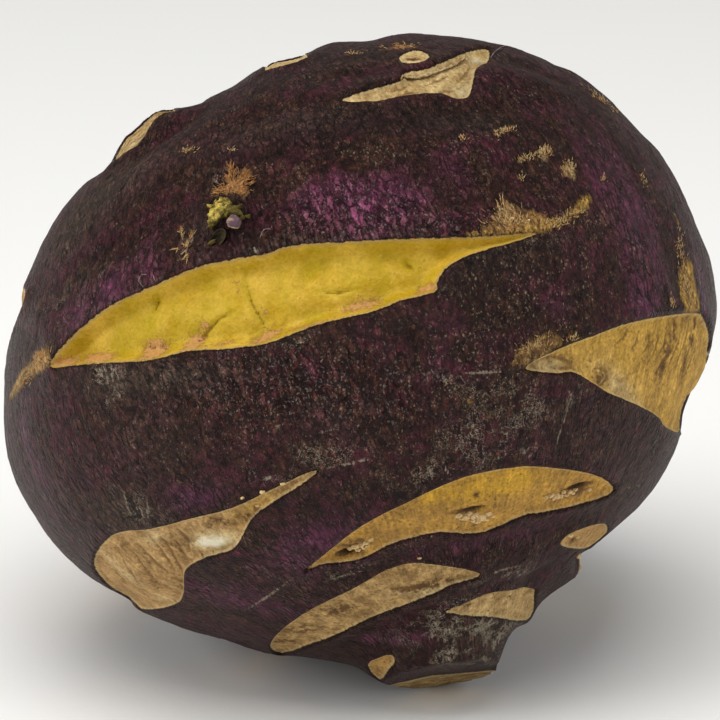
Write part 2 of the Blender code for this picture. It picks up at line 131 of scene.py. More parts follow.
# How the growth axis leans in the picture, how the picture plane is tipped back
# when the body lies on the table, and where the body's middle then is
LEAN_LEFT = math.radians(17.0)
LEAN_BACK = math.radians(10.0)
TIPPED = math.radians(17.8)
MIDDLE_AT_REST = np.array([-0.617, -1.401, 41.598])

# The spot that it lies on stands a little lower than the round body
SPOT_DEPTH = 1.5
SPOT_WIDTH = math.radians(12.0)

# Slow swellings of the shrunken body
LUMP_SEED = 11
LUMPS = 16
LUMP_HEIGHT = 0.75
LUMP_WAVES = (2.5, 7.0)

# The picture that places are read from: its scale at the body's middle, the
# body's middle and the optical axis in it, and the distance of the eye
PICTURE_WIDTH = 720
PIXEL = 0.13
MIDDLE = (356.0, 350.0)
OPTICAL_AXIS = (360.0, 360.0)
EYE_DISTANCE = 600.0

# How far before and behind the middle a line of sight is searched, and in how many steps
SIGHT_REACH = 58.0
SIGHT_STEPS = 581

# How far round, toward and away from the viewer, the traced outline shapes
# the body: its broad sweep, and its small steps
SWEEP_REACH = math.radians(38.0)
STEP_REACH = math.radians(9.0)
SWEEP_SMOOTHING = 8
OUTLINE_ROUNDS = 3
OUTLINE_MOST = 5.0

OUTLINE = [
    (711, 350), (714, 334), (717, 318), (717, 302), (713, 271), (709, 255), (703, 241), (697, 226),
    (685, 197), (678, 182), (662, 155), (652, 143), (640, 132), (619, 109), (608, 98), (584, 78),
    (571, 70), (555, 65), (542, 58), (514, 47), (499, 44), (470, 38), (440, 35), (412, 33), (398, 34),
    (383, 37), (369, 41), (343, 41), (329, 43), (316, 48), (304, 55), (279, 61), (255, 71), (233, 86),
    (210, 97), (199, 104), (186, 107), (171, 109), (156, 112), (145, 120), (135, 129), (125, 138),
    (117, 150), (111, 162), (102, 172), (89, 180), (78, 190), (60, 212), (45, 237), (33, 263),
    (27, 277), (22, 291), (21, 306), (11, 335), (5, 365), (4, 396), (4, 428), (8, 460), (19, 490),
    (35, 517), (53, 543), (75, 566), (100, 584), (128, 599), (138, 610), (166, 622), (193, 632),
    (221, 639), (248, 648), (274, 655), (302, 657), (329, 661), (356, 667), (370, 676), (385, 684),
    (400, 686), (431, 687), (461, 684), (476, 680), (492, 675), (500, 659), (507, 640), (516, 628),
    (529, 622), (537, 608), (546, 598), (557, 590), (569, 582), (579, 573), (580, 555), (592, 548),
    (613, 530), (635, 511), (654, 489), (669, 464), (680, 437), (684, 408), (691, 394), (699, 380),
    (706, 365),
]

# Marks a point of a scar's edge that lies past the outline, on the far side
FAR = 1

# The leaf scars that face the viewer, by their edge in the picture
GASH = [
    (57, 366), (74, 340), (100, 316), (127, 300), (162, 285), (198, 269), (239, 260), (264, 256),
    (295, 247), (338, 244), (399, 241), (469, 240), (504, 238), (533, 236), (507, 246), (484, 252),
    (461, 260), (444, 270), (435, 284), (433, 293), (399, 302), (373, 312), (322, 324), (292, 335),
    (267, 344), (228, 349), (191, 351), (153, 360), (107, 363), (80, 365),
]
RIGHT_SCAR = [
    (525, 368), (556, 350), (598, 334), (629, 323), (671, 315), (698, 313), (705, 321), (709, 333),
    (710, 346), (704, 362, FAR), (694, 380, FAR), (684, 404, FAR), (680, 424, FAR), (680, 433),
    (666, 427), (657, 416), (635, 404), (605, 391), (576, 373), (556, 373),
]
LOWER_LEFT_SCAR = [
    (94, 563), (98, 550), (111, 536), (126, 531), (150, 529), (193, 518), (234, 507), (270, 490),
    (304, 474), (318, 471), (306, 481), (276, 500), (260, 511), (249, 523), (234, 548), (205, 558),
    (184, 572), (182, 595), (174, 606), (144, 610), (132, 603), (113, 590), (98, 574),
]
LOWER_RIGHT_SCAR = [
    (305, 573), (322, 557), (362, 526), (408, 502), (465, 477), (511, 468), (543, 467), (595, 475),
    (614, 491), (585, 504), (543, 513), (521, 517), (488, 534), (469, 536), (437, 533), (395, 543),
    (359, 561), (322, 566),
]
LOW_SCAR = [
    (270, 648), (279, 633), (312, 609), (357, 588), (397, 570), (429, 566), (479, 572), (451, 583),
    (415, 601), (375, 617), (339, 635), (308, 646), (283, 654),
]
STUB_SCAR = [
    (446, 614), (460, 605), (491, 592), (531, 591), (536, 597), (529, 621), (491, 616), (458, 616),
]
TOP_SCAR = [
    (343, 96), (370, 89), (402, 79), (405, 72), (430, 67), (455, 56), (476, 49), (489, 49), (489, 59),
    (482, 63), (475, 71), (472, 88), (468, 95), (455, 95), (437, 91), (402, 94), (380, 98), (350, 99),
]
CUSHION_SCAR = [
    (111, 166), (119, 158), (128, 151), (136, 145), (143, 137), (149, 129), (156, 121), (166, 115),
    (180, 111), (166, 112, FAR), (150, 119, FAR), (138, 129, FAR), (127, 139, FAR), (118, 151, FAR),
]
SMALL_RIGHT_SCAR = [(561, 545), (572, 534), (601, 524), (608, 528), (604, 536), (585, 549)]
FLANK_SCAR = [(368, 666), (377, 659), (391, 656), (395, 662), (388, 672), (380, 680)]
RIM_SCAR = [(263, 72), (276, 69), (292, 65), (309, 58), (300, 58, FAR), (285, 62, FAR), (272, 66, FAR)]
RING_SCAR = [(399, 58), (406, 53), (415, 51), (425, 53), (429, 58), (422, 62), (413, 63), (404, 62)]

# Each with the depth of its floor, the height and width of the lip of skin
# round it, in millimetres, and how pale, brown and yellow its cork is
FRONT_SCARS = [
    (GASH, 1.7, 0.9, 4.5, (0.0, 0.0, 0.0)),
    (RIGHT_SCAR, 0.55, 0.35, 2.5, (0.15, 0.12, 0.9)),
    (LOWER_LEFT_SCAR, 0.35, 0.3, 2.0, (0.25, 0.1, 0.1)),
    (LOWER_RIGHT_SCAR, 0.55, 0.35, 2.0, (0.0, 0.1, 0.5)),
    (LOW_SCAR, 0.45, 0.35, 2.0, (0.35, 0.3, 0.3)),
    (STUB_SCAR, 0.3, 0.3, 1.5, (0.5, 0.25, 0.3)),
    (TOP_SCAR, 0.7, 0.35, 2.0, (0.65, 0.15, 0.45)),
    (CUSHION_SCAR, 0.3, 0.5, 2.5, (0.55, 0.4, 0.5)),
    (SMALL_RIGHT_SCAR, 0.3, 0.25, 1.5, (0.2, 0.1, 0.2)),
    (FLANK_SCAR, 0.25, 0.25, 1.2, (0.1, 0.2, 0.3)),
    (RIM_SCAR, 0.3, 0.4, 1.5, (0.7, 0.0, 0.6)),
    (RING_SCAR, 0.25, 0.25, 1.0, (0.7, 0.0, 0.6)),
]

# Each leaf stood a golden angle round from the one below it, so the scars of
# the hidden side follow from those that face the viewer. Each hidden leaf
# comes with its scar's share of the usual length.
GOLDEN_ANGLE = 137.508
GASH_LONGITUDE = -7.0
HIDDEN_LEAVES = {
    -9: 0.6, -6: 0.5, -4: 0.9, -1: 1.0, 1: 0.9, 2: 1.0, 4: 1.0, 6: 1.1, 7: 0.9, 9: 0.9, 11: 0.9, 12: 0.8,
}
LEAF_AT = [-11, -5, 0, 3, 5, 8, 14]
LATITUDE_AT = [-74.0, -46.0, 1.0, 33.0, 52.0, 66.0, 82.0]
HALF_ANGLE_AT = [40.0, 40.0, 36.0, 25.0, 22.0, 18.0, 16.0]
HALF_HEIGHT_AT = [2.2, 3.8, 4.2, 3.0, 2.2, 1.6, 1.0]
SCAR_SEED = 5
HIDDEN_SCAR_SIZES = (0.5, 0.35, 2.0)

# Folds and dents of the skin: path in the picture, width, height
FOLDS = [
    ([(80, 262), (117, 243), (149, 224), (181, 207)], 2.2, -0.7),
    ([(100, 205), (140, 180), (190, 158)], 4.0, 0.5),
    ([(130, 160), (160, 133), (200, 110)], 2.6, -1.2),
    ([(213, 142), (260, 112), (330, 98)], 2.4, -0.6),
    ([(335, 106), (400, 112), (450, 108), (525, 104)], 2.6, -0.9),
    ([(480, 62), (520, 62), (560, 80)], 1.6, -0.45),
    ([(470, 78), (520, 76), (570, 98)], 1.6, 0.4),
    ([(300, 80), (350, 72), (420, 62)], 1.6, -0.5),
    ([(440, 300), (500, 276), (560, 262)], 7.0, 0.8),
    ([(300, 575), (360, 574), (440, 552), (540, 532), (600, 512)], 2.6, -0.8),
    ([(440, 588), (500, 572), (556, 560)], 2.4, 0.45),
    ([(330, 650), (400, 626), (440, 622), (470, 634)], 2.6, -0.7),
    ([(540, 610), (528, 586), (556, 566)], 2.2, -0.6),
    ([(412, 330), (414, 350)], 1.6, -0.35),
    ([(185, 560), (200, 600), (196, 626)], 4.0, -0.5),
    ([(320, 470), (390, 452), (440, 440)], 1.8, -0.3),
    ([(30, 300), (55, 345), (40, 372)], 3.0, 0.5),
    ([(640, 200), (672, 250), (690, 300)], 3.5, -0.5),
]

# Small raised things: middle in the picture, reach along and across, the
# angle of its length in degrees, height
KNOBS = [
    ((229, 214), 2.3, 1.5, 60, 1.5), ((238, 227), 0.9, 0.9, 0, 1.2), ((601, 377), 1.1, 1.1, 0, 0.5),
    ((581, 568), 1.6, 1.1, 60, 0.8), ((220, 238), 1.6, 1.2, 30, -0.9), ((135, 575), 4.5, 3.2, 20, 0.7),
    ((213, 540), 2.0, 0.9, 0, 0.3), ((475, 515), 1.6, 0.7, 10, -0.4), ((345, 556), 1.6, 0.7, 30, -0.5),
    ((583, 488), 1.8, 0.6, 10, -0.35),
]

# Pits in the cork of the scars: middle in the picture, reach along and across,
# the angle of its length in degrees, height
PITS = [
    ((476, 512), 2.3, 0.4, 8, -0.6), ((582, 488), 1.9, 0.3, 12, -0.55),
    ((347, 557), 1.3, 0.45, 12, -0.7), ((356, 552), 1.8, 0.5, 25, -0.3),
    ((575, 542), 0.6, 0.4, 20, -0.4), ((507, 601), 0.6, 0.3, 30, -0.3),
    ((478, 497), 0.35, 0.3, 0, -0.3), ((477, 530), 0.35, 0.3, 0, -0.3),
]
# How much painted shade darkens the cork of a pit, for each millimetre of its depth
PIT_DARKNESS = 4.0

# Creases of the dried flesh in the gash, and its softer hollows, by their path in the picture
CREASES = [
    [(242, 267), (244, 285), (249, 302), (257, 317), (262, 328), (267, 334)],
    [(187, 351), (195, 340), (205, 328), (215, 318), (225, 313), (236, 307)],
    [(317, 290), (330, 292), (343, 291), (362, 287)],
    [(157, 294), (150, 303), (145, 313)],
    [(405, 257), (417, 269)],
]
HOLLOWS = [
    [(145, 313), (143, 325), (147, 340)],
    [(112, 357), (109, 342), (114, 330)],
    [(205, 272), (208, 288), (204, 305), (198, 322)],
    [(293, 286), (303, 274), (318, 258)],
    [(170, 300), (172, 318), (168, 338)],
    [(276, 262), (280, 290), (290, 318)],
    [(330, 250), (345, 262), (352, 276)],
    [(385, 248), (405, 262), (424, 268)],
    [(230, 318), (250, 330), (258, 336)],
]

# Their sizes in millimetres, and how far inward the wall of the gash stands
HOLLOW_WIDTH = 0.9
HOLLOW_DEPTH = 0.28
WALL_INWARD = 0.6
CREASE_WIDTH = 0.28
CREASE_DEPTH = 0.35
PILLOW_HEIGHT = 0.5
PATCH_HEIGHT = 0.12

# The sizes of the fine relief in millimetres: the flesh's pillows and dimples, crumbly
# cork, the wrinkles and their bends, and the ridges and knots of the scars' cork
PILLOW_SIZE = 5.0
DIMPLE_SIZE = 2.0
CRUMB_SIZE = 0.8
BEND_SIZE = 2.5
COARSE_SIZES = (2.8, 2.8, 8.0)
FINE_SIZES = (1.3, 1.3, 3.4)
LEVEL_SIZES = (6.5, 6.5, 2.2)
RIDGE_SIZES = (1.1, 1.1, 6.0)
KNOT_SIZE = 1.1

# Thin dark lines in the cork of the scars, by their path in the picture
CORK_LINES = [
    [(154, 532), (165, 548), (173, 564), (181, 580), (182, 594)],
    [(131, 540), (145, 556), (161, 572), (173, 582)],
    [(115, 554), (127, 566), (137, 580), (143, 596)],
    [(162, 528), (172, 542), (180, 556), (186, 566)],
    [(686, 316), (685, 335), (675, 361), (665, 381)],
    [(695, 317), (691, 339), (681, 363), (673, 387)],
    [(702, 325), (701, 343), (693, 367), (679, 395)],
    [(671, 321), (669, 343), (659, 361)],
    [(678, 318), (677, 338), (668, 360), (655, 380)],
    [(662, 322), (661, 345), (650, 366)],
    [(697, 335), (691, 357), (682, 377)],
    [(642, 327), (641, 340), (634, 352)],
    [(124, 545), (138, 562), (152, 578), (160, 592)],
    [(146, 536), (158, 552), (168, 568), (174, 580)],
    [(108, 566), (118, 578), (126, 590)],
    [(170, 526), (183, 540), (188, 556)],
    [(651, 327), (653, 343), (645, 355)],
    [(633, 325), (629, 335), (617, 347)],
    [(537, 364), (545, 358), (559, 357), (574, 365), (563, 369), (546, 367)],
    [(592, 377), (597, 369), (606, 370), (610, 378), (604, 385), (595, 384), (592, 377)],
    [(381, 88), (401, 84), (415, 78)],
    [(423, 82), (439, 76), (455, 68)],
    [(455, 82), (467, 70), (473, 60)],
    [(436, 90), (447, 86), (462, 86)],
    [(397, 92), (409, 88), (420, 89)],
]
CORK_LINE_WIDTH = 0.5
CORK_LINE_DEPTH = 0.22

# Ragged patches of cork on the skin, by their edge in the picture
PATCHES = [
    [(8, 400), (20, 372), (34, 360), (50, 348), (59, 357), (54, 368), (38, 375), (26, 383), (15, 395)],
    [(466, 239), (483, 230), (493, 217), (498, 207), (504, 203), (513, 206), (516, 212), (535, 215),
     (547, 220), (561, 217), (573, 206), (584, 196), (591, 200), (584, 210), (568, 221), (553, 229),
     (533, 236)],
    [(511, 359), (521, 347), (536, 336), (553, 334), (560, 343), (542, 356), (524, 366), (514, 364)],
    [(213, 193), (224, 187), (229, 167), (234, 180), (250, 171), (246, 184), (248, 197), (234, 194)],
    [(684, 262), (692, 262), (696, 285), (698, 312), (684, 312), (681, 290)],
]

# Flecks of cork: middle in the picture, half length and half width in
# pixels, the angle of its length in degrees
FLECKS = [
    ((470, 402), 3, 6, 20), ((488, 417), 4, 3, 0), ((452, 428), 3, 3, 0), ((503, 392), 4, 2, 10),
    ((545, 418), 3, 4, 30), ((402, 47), 24, 8, 3), ((354, 53), 11, 5, 5), ((506, 131), 12, 5, 10),
    ((543, 153), 9, 8, 12), ((568, 170), 10, 13, 10), ((520, 178), 4, 4, 0), ((463, 138), 3, 5, 20),
    ((602, 178), 4, 2, 0), ((644, 178), 3, 6, 20), ((600, 100), 24, 3, -38), ((571, 338), 8, 2, 0),
    ((188, 151), 12, 4, 10), ((233, 150), 4, 2, 0), ((188, 247), 4, 4, 10), ((500, 395), 3, 4, 0),
    ((470, 402), 4, 3, 0), ((677, 222), 3, 16, -5), ((573, 336), 8, 4, -40), ((671, 302), 5, 6, 0),
    ((545, 157), 14, 4, 25), ((521, 160), 12, 4, 0),
]

# How much thinner a fleck is than a patch, in millimetres
FLECK_THINNING = 0.4

# Pale scratches, by their path in the picture
SCRATCHES = [
    [(569, 383), (573, 392), (568, 402), (565, 418), (560, 432), (556, 446), (555, 456)],
    [(566, 388), (571, 398)],
    [(258, 480), (268, 478), (280, 472)],
    [(440, 640), (470, 636), (500, 628)],
    [(483, 650), (485, 672)],
    [(489, 652), (490, 668)],
    [(614, 492), (632, 487), (650, 485)],
    [(440, 455), (446, 470), (452, 476)],
    [(108, 366), (111, 378), (110, 388)],
    [(116, 367), (115, 376), (118, 384)],
    [(103, 370), (105, 380)],
    [(315, 470), (350, 464), (390, 455)],
    [(455, 373), (490, 372), (525, 368)],
    [(230, 620), (265, 598), (305, 570)],
    [(527, 445), (524, 453), (528, 460)],
    [(424, 460), (430, 471), (432, 482)],
    [(484, 456), (482, 468)],
    [(316, 585), (340, 579), (375, 571)],
    [(478, 575), (500, 568), (530, 562)],
    [(186, 262), (188, 254), (188, 247), (184, 238), (184, 230), (190, 229)],
    [(188, 247), (193, 240), (192, 231)],
    [(178, 251), (188, 247), (190, 257), (196, 262)],
    [(123, 484), (127, 505), (135, 524)],
    [(146, 486), (148, 508), (150, 526)],
    [(135, 494), (142, 510), (147, 524)],
    [(252, 246), (258, 252), (262, 258)],
]

# Soft blots of tint on the skin: middle in the picture, reach along and
# across in pixels, the angle of its length in degrees, strength
PURPLE = [
    ((330, 208), 110, 34, 0, 1.0), ((110, 295), 85, 34, 27, 0.85), ((650, 250), 45, 70, 0, 0.6),
    ((600, 160), 60, 45, -40, 0.45), ((640, 310), 28, 22, 0, 0.5), ((195, 497), 48, 18, 10, 1.0),
    ((45, 480), 50, 60, 0, 0.5), ((230, 600), 100, 35, -15, 0.7), ((330, 530), 60, 30, 20, 0.5),
    ((380, 640), 60, 12, 20, 0.8), ((430, 340), 50, 60, 0, 0.4), ((520, 540), 70, 20, 10, 0.5),
    ((560, 310), 30, 22, 0, 0.6), ((460, 160), 80, 35, 0, 0.35), ((600, 220), 50, 40, 0, 0.4),
    ((300, 560), 80, 34, 20, 0.6), ((430, 555), 90, 14, 12, 0.5), ((702, 290), 14, 60, 0, 0.9),
    ((20, 400), 20, 60, 0, 0.5), ((232, 222), 46, 34, 0, -1.2), ((180, 165), 60, 20, 20, -0.5),
    ((480, 262), 50, 12, 12, -0.6),
]
DUST = [
    ((90, 205), 95, 50, 40, 1.0), ((300, 120), 130, 30, 10, 0.6), ((150, 430), 80, 60, 0, 0.5),
    ((150, 378), 90, 14, 4, 0.9), ((330, 420), 60, 30, 0, 0.4), ((640, 470), 45, 45, 0, 0.9),
    ((120, 515), 55, 28, 0, 0.9), ((490, 262), 70, 22, 12, 0.7), ((480, 640), 50, 30, 0, 0.8),
    ((570, 585), 30, 25, 0, 0.9), ((600, 510), 40, 25, 0, 0.5), ((400, 55), 170, 22, 0, 0.6),
    ((600, 440), 60, 25, 0, 0.4), ((470, 120), 60, 18, 0, 0.6), ((200, 235), 30, 40, 0, 0.6),
]
SPECKS = [
    ((530, 290), 90, 55, 0, 1.0), ((480, 390), 90, 70, 0, 0.9), ((250, 420), 110, 50, 0, 0.6),
    ((420, 470), 60, 40, 0, 0.6), ((300, 600), 60, 40, 0, 0.5), ((500, 555), 70, 16, 0, 0.6),
    ((600, 220), 50, 40, 0, 0.6), ((470, 150), 80, 30, 0, 0.5), ((350, 150), 80, 25, 0, 0.5),
]
SPECKS_EVERYWHERE = 0.3

# How slowly the tints of the far side come and go, in millimetres
DRIFT_SIZE = 22.0

# Painted shade where the skin is darker, as round the bud and under the top scar, and painted
# light where the strength is negative, as on the lit purple above the split and the underside
SHADE_AND_LIGHT = [
    ((345, 208), 60, 28, 0, -0.55), ((280, 385), 120, 34, 0, -0.25), ((470, 640), 60, 30, 0, -0.25),
    ((200, 620), 60, 16, 15, -0.25), ((600, 200), 40, 40, 0, -0.3), ((600, 450), 60, 40, 0, -0.15),
    ((330, 525), 50, 20, 15, 0.35), ((195, 497), 40, 16, 0, 0.15), ((650, 280), 26, 50, 0, 0.1),
    ((236, 222), 44, 32, 0, 0.9), ((400, 116), 110, 18, 3, 0.8), ((480, 266), 70, 20, 12, 0.5),
    ((500, 305), 70, 40, 0, 0.4), ((560, 90), 50, 16, -25, 0.5), ((445, 175), 60, 30, 0, 0.3),
    ((610, 180), 40, 60, 20, 0.2), ((300, 150), 60, 14, 0, 0.4), ((160, 185), 50, 10, 35, 0.4),
    ((330, 60), 60, 12, 0, 0.4), ((470, 560), 90, 12, 12, 0.4), ((350, 550), 40, 8, 20, 0.4),
    ((120, 240), 70, 8, 27, 0.6), ((430, 410), 50, 40, 0, 0.2), ((400, 490), 90, 14, 15, 0.3),
    ((195, 497), 40, 16, 10, 0.25),
]

# Where thin wisps of chalk lie on the skin
CHALK = [
    ((462, 385), 34, 8, -10, 0.6), ((490, 425), 34, 22, 20, 0.45), ((428, 465), 12, 20, 0, 0.55),
    ((535, 405), 30, 18, 0, 0.45), ((528, 455), 8, 10, 0, 0.8), ((520, 570), 30, 6, 8, 0.9),
    ((655, 440), 8, 30, 20, 0.5), ((330, 455), 40, 10, 0, 0.5), ((480, 640), 60, 34, 0, 3.2),
    ((450, 600), 16, 8, 0, 0.5), ((112, 376), 14, 18, 0, 1.6), ((222, 180), 8, 14, 30, 0.9),
    ((505, 572), 34, 10, 12, 0.8), ((345, 574), 36, 8, 14, 0.6), ((140, 510), 26, 22, 0, 0.5),
    ((290, 478), 16, 6, 20, 0.7), ((440, 285), 8, 16, 0, 0.7), ((520, 246), 34, 6, 10, 0.7),
    ((300, 342), 18, 4, 12, 0.8), ((575, 393), 8, 10, 0, 0.8), ((480, 450), 40, 20, 0, 0.4),
    ((400, 480), 30, 12, 0, 0.4), ((60, 300), 30, 40, 0, 0.3), ((640, 130), 24, 12, -40, 0.6),
]

# Where the skin stands in a comb of fine upright ridges along the split, their tops painted
# lighter with painted glints and their grooves painted darker, as painted light and shade
COMB = [((125, 296), 75, 15, 27, 0.4), ((265, 240), 45, 13, 12, 0.7), ((350, 232), 75, 13, 2, 0.8)]

# The same for the cork of the scars: how pale, brown and yellow it is. Pale
# and brown past 1 turn to chalk and to the dark of a pit.
PALE_CORK = [
    ((213, 543), 22, 10, 4, 1.7), ((108, 560), 16, 10, 60, 0.3), ((150, 540), 16, 8, 20, 0.5),
    ((130, 575), 12, 16, 0, 0.4), ((160, 600), 14, 6, 0, 0.5), ((625, 393), 45, 12, -30, 0.6),
    ((550, 366), 24, 7, 0, 0.8), ((430, 592), 34, 9, 18, 0.5), ((145, 135), 30, 14, 45, 0.5),
    ((478, 56), 12, 7, 20, 0.8), ((466, 86), 16, 8, 20, 0.6), ((470, 519), 12, 3, 0, 0.7),
    ((562, 497), 12, 3, 0, 0.6), ((360, 547), 14, 3, 30, 0.5), ((320, 600), 40, 12, 25, 0.3),
]
BROWN_CORK = [
    ((256, 515), 20, 7, 35, 0.5), ((220, 523), 22, 6, 8, 0.7), ((172, 548), 8, 24, 20, 0.6),
    ((190, 545), 7, 10, 0, 0.6), ((300, 478), 26, 6, 27, 0.4), ((178, 588), 14, 14, 0, 0.5),
    ((140, 560), 10, 14, 30, 0.4), ((120, 548), 14, 5, 30, 0.4), ((345, 612), 22, 8, 20, 0.9),
    ((425, 588), 26, 7, 20, 0.9), ((283, 645), 14, 7, 0, 1.1), ((300, 632), 20, 10, 20, 0.5),
    ((350, 547), 20, 5, 25, 0.8), ((672, 352), 12, 34, -20, 0.7), ((578, 492), 26, 7, 5, 0.8),
    ((470, 522), 18, 3, 5, 0.3), ((695, 345), 8, 30, -15, 0.8), ((650, 350), 10, 22, -15, 0.3),
    ((601, 377), 8, 8, 0, 0.5), ((493, 606), 3, 2, 0, 1.2), ((470, 608), 4, 2, 0, 1.0),
    ((655, 415), 12, 6, 30, 0.6), ((395, 505), 30, 8, 25, 0.3), ((510, 222), 30, 12, 10, 0.6),
    ((688, 285), 12, 36, 0, 0.3), ((414, 57), 6, 2.5, 0, 1.8), ((535, 348), 24, 10, 28, 1.1),
    ((565, 220), 20, 10, 40, 0.5), ((30, 372), 24, 14, 40, 0.7), ((548, 165), 40, 16, 0, 0.5),
]
YELLOW_CORK = [
    ((255, 508), 30, 12, 35, 0.8), ((676, 335), 22, 22, 0, 0.6), ((600, 350), 40, 10, 20, 0.5),
    ((630, 340), 45, 25, 0, 0.8), ((545, 370), 26, 10, 0, -0.4), ((535, 346), 24, 12, 28, -0.9),
    ((690, 288), 14, 34, 0, -0.4), ((480, 490), 70, 16, 8, 0.7), ((430, 82), 40, 12, 15, 0.3),
    ((484, 53), 14, 7, 20, 1.0), ((300, 60), 30, 12, 0, 0.3), ((145, 135), 30, 14, 45, 0.3),
]
CUT_TINT = (0.55, 0.35, 0.5)

# The upper edge of the bare part of the cut in the picture. Skin has dried over the
# rest. The distance to it is kept for directions that meet the cut near the stub.
CUT_EDGE = [(385, 681), (430, 670), (491, 667)]
CUT_TOP_REACH = 60.0
CUT_STEEPNESS = 1.2

# Dried crumbs on the flesh, and the orange cork
PEACH = [
    ((95, 358), 22, 5, 0, 1.3), ((149, 350), 13, 10, 0, 1.4), ((70, 363), 10, 4, 0, 1.2),
    ((190, 343), 10, 9, 45, 1.4), ((264, 337), 13, 5, 20, 1.3), ((222, 343), 16, 3, 10, 0.8),
    ((363, 304), 20, 5, 12, 1.2), ((428, 289), 10, 5, 20, 1.2), ((310, 325), 26, 3, 12, 0.7),
    ((180, 262), 40, 2, 25, 0.6), ((240, 242), 40, 2, 12, 0.6), ((200, 325), 6, 8, 60, 0.8),
    ((262, 308), 4, 12, 0, 0.5), ((235, 283), 3, 10, 0, 0.5), ((62, 362), 8, 4, 0, 1.0),
    ((236, 182), 22, 20, 0, 2.2), ((190, 246), 12, 18, 0, 0.5), ((510, 225), 30, 10, 10, 0.4),
    ((48, 357), 12, 8, 20, 1.2), ((402, 47), 22, 8, 3, 1.8),
]

# The dried side bud above the split: the middle of each of its lumps in the
# picture, half sizes in millimetres along, across and outward, and its turn in degrees
BUD_LEAVES = [
    ((222, 217), (1.3, 0.9, 0.8), 38), ((216, 225), (0.7, 0.5, 0.55), 20),
    ((227, 209), (0.85, 0.4, 0.75), 10), ((221, 207), (0.4, 0.3, 0.7), 80),
    ((233, 209), (0.45, 0.3, 0.7), 100), ((237, 216), (1.0, 0.8, 0.6), -40),
    ((249, 218), (0.35, 0.25, 0.35), 60), ((213, 243), (0.5, 0.3, 0.35), 40),
    ((230, 204), (0.3, 0.2, 0.4), 30), ((226, 214), (0.4, 0.2, 1.1), 30),
    ((219, 221), (0.35, 0.2, 0.95), 60), ((214, 229), (0.3, 0.25, 0.6), 10),
    ((225, 203), (0.25, 0.2, 0.6), 0), ((241, 211), (0.35, 0.2, 0.7), 20),
    ((232, 219), (0.5, 0.3, 0.8), 70), ((244, 221), (0.3, 0.2, 0.5), 0),
    ((217, 211), (0.35, 0.2, 1.0), 50), ((222, 224), (0.3, 0.2, 0.9), -20),
]
BUD_KNOB = ((239, 227), (0.9, 0.85, 0.8), 0)
BUD_SCALE = ((221, 237), (1.4, 0.8, 0.5), 38)
BUD_SCALE_THICKNESS = 0.12

# How crumbly the small lumps are, their seeds, and how finely the leaves are melted together
LEAF_CRUMBLE = 0.55
LEAF_VOXEL = 0.06
KNOB_CRUMBLE = 0.12
KNOB_SEED = 20
CRUMB_CRUMBLE = 0.35
CRUMB_SEED = 30
CRUMB_TURN = 10.0

# Pale crumbs in the pits of the scars and on their edges: middle in the picture, size in millimetres
CRUMBS = [
    ((471, 517), 0.38), ((479, 523), 0.4), ((487, 521), 0.34), ((463, 521), 0.26), ((494, 518), 0.26),
    ((475, 523), 0.3), ((556, 500), 0.32), ((563, 498), 0.36), ((569, 497), 0.26), ((576, 495), 0.24),
    ((548, 499), 0.26), ((358, 553), 0.3), ((364, 550), 0.26), ((368, 548), 0.24), ((460, 518), 0.35),
    ((467, 520), 0.45), ((475, 519), 0.55), ((483, 520), 0.5), ((490, 516), 0.36), ((553, 497), 0.4),
    ((559, 498), 0.45), ((566, 494), 0.3), ((573, 494), 0.34), ((579, 492), 0.28), ((592, 491), 0.3),
    ((350, 552), 0.3), ((355, 549), 0.4), ((361, 548), 0.36), ((366, 545), 0.34), ((371, 542), 0.28),
    ((257, 507), 0.22), ((283, 483), 0.26), ((263, 491), 0.26), ((572, 536), 0.36), ((579, 538), 0.3),
    ((508, 222), 0.22), ((524, 224), 0.18), ((578, 555), 0.4), ((580, 564), 0.6), ((582, 571), 0.45),
    ((243, 497), 0.2), ((420, 560), 0.2), ((505, 600), 0.3),
]

# The dried skin that has peeled back along the top scar, by its path in the picture
FLAP = [(401, 79), (404, 74), (412, 72), (421, 71), (432, 68), (443, 64), (455, 60), (466, 54)]
FLAP_REACH = 4.5
FLAP_LIFT = 0.5
FLAP_THICKNESS = 0.16
FLAP_WAVES = 12
FLAP_SLANT = 0.2

# The thin twig at the end of the top scar and the loose hairs of skin, by their path in the
# picture, with their thickness in millimetres
HAIRS = [
    [(491, 57), (498, 52), (505, 46)],
    [(151, 288), (146, 286), (145, 281), (147, 277), (151, 276)],
    [(157, 287), (159, 283), (158, 277)],
    [(61, 352), (66, 346), (69, 339)],
    [(262, 240), (266, 233), (272, 231)],
]
HAIR_THICKNESS = 0.1
HAIR_LIFT = 0.35

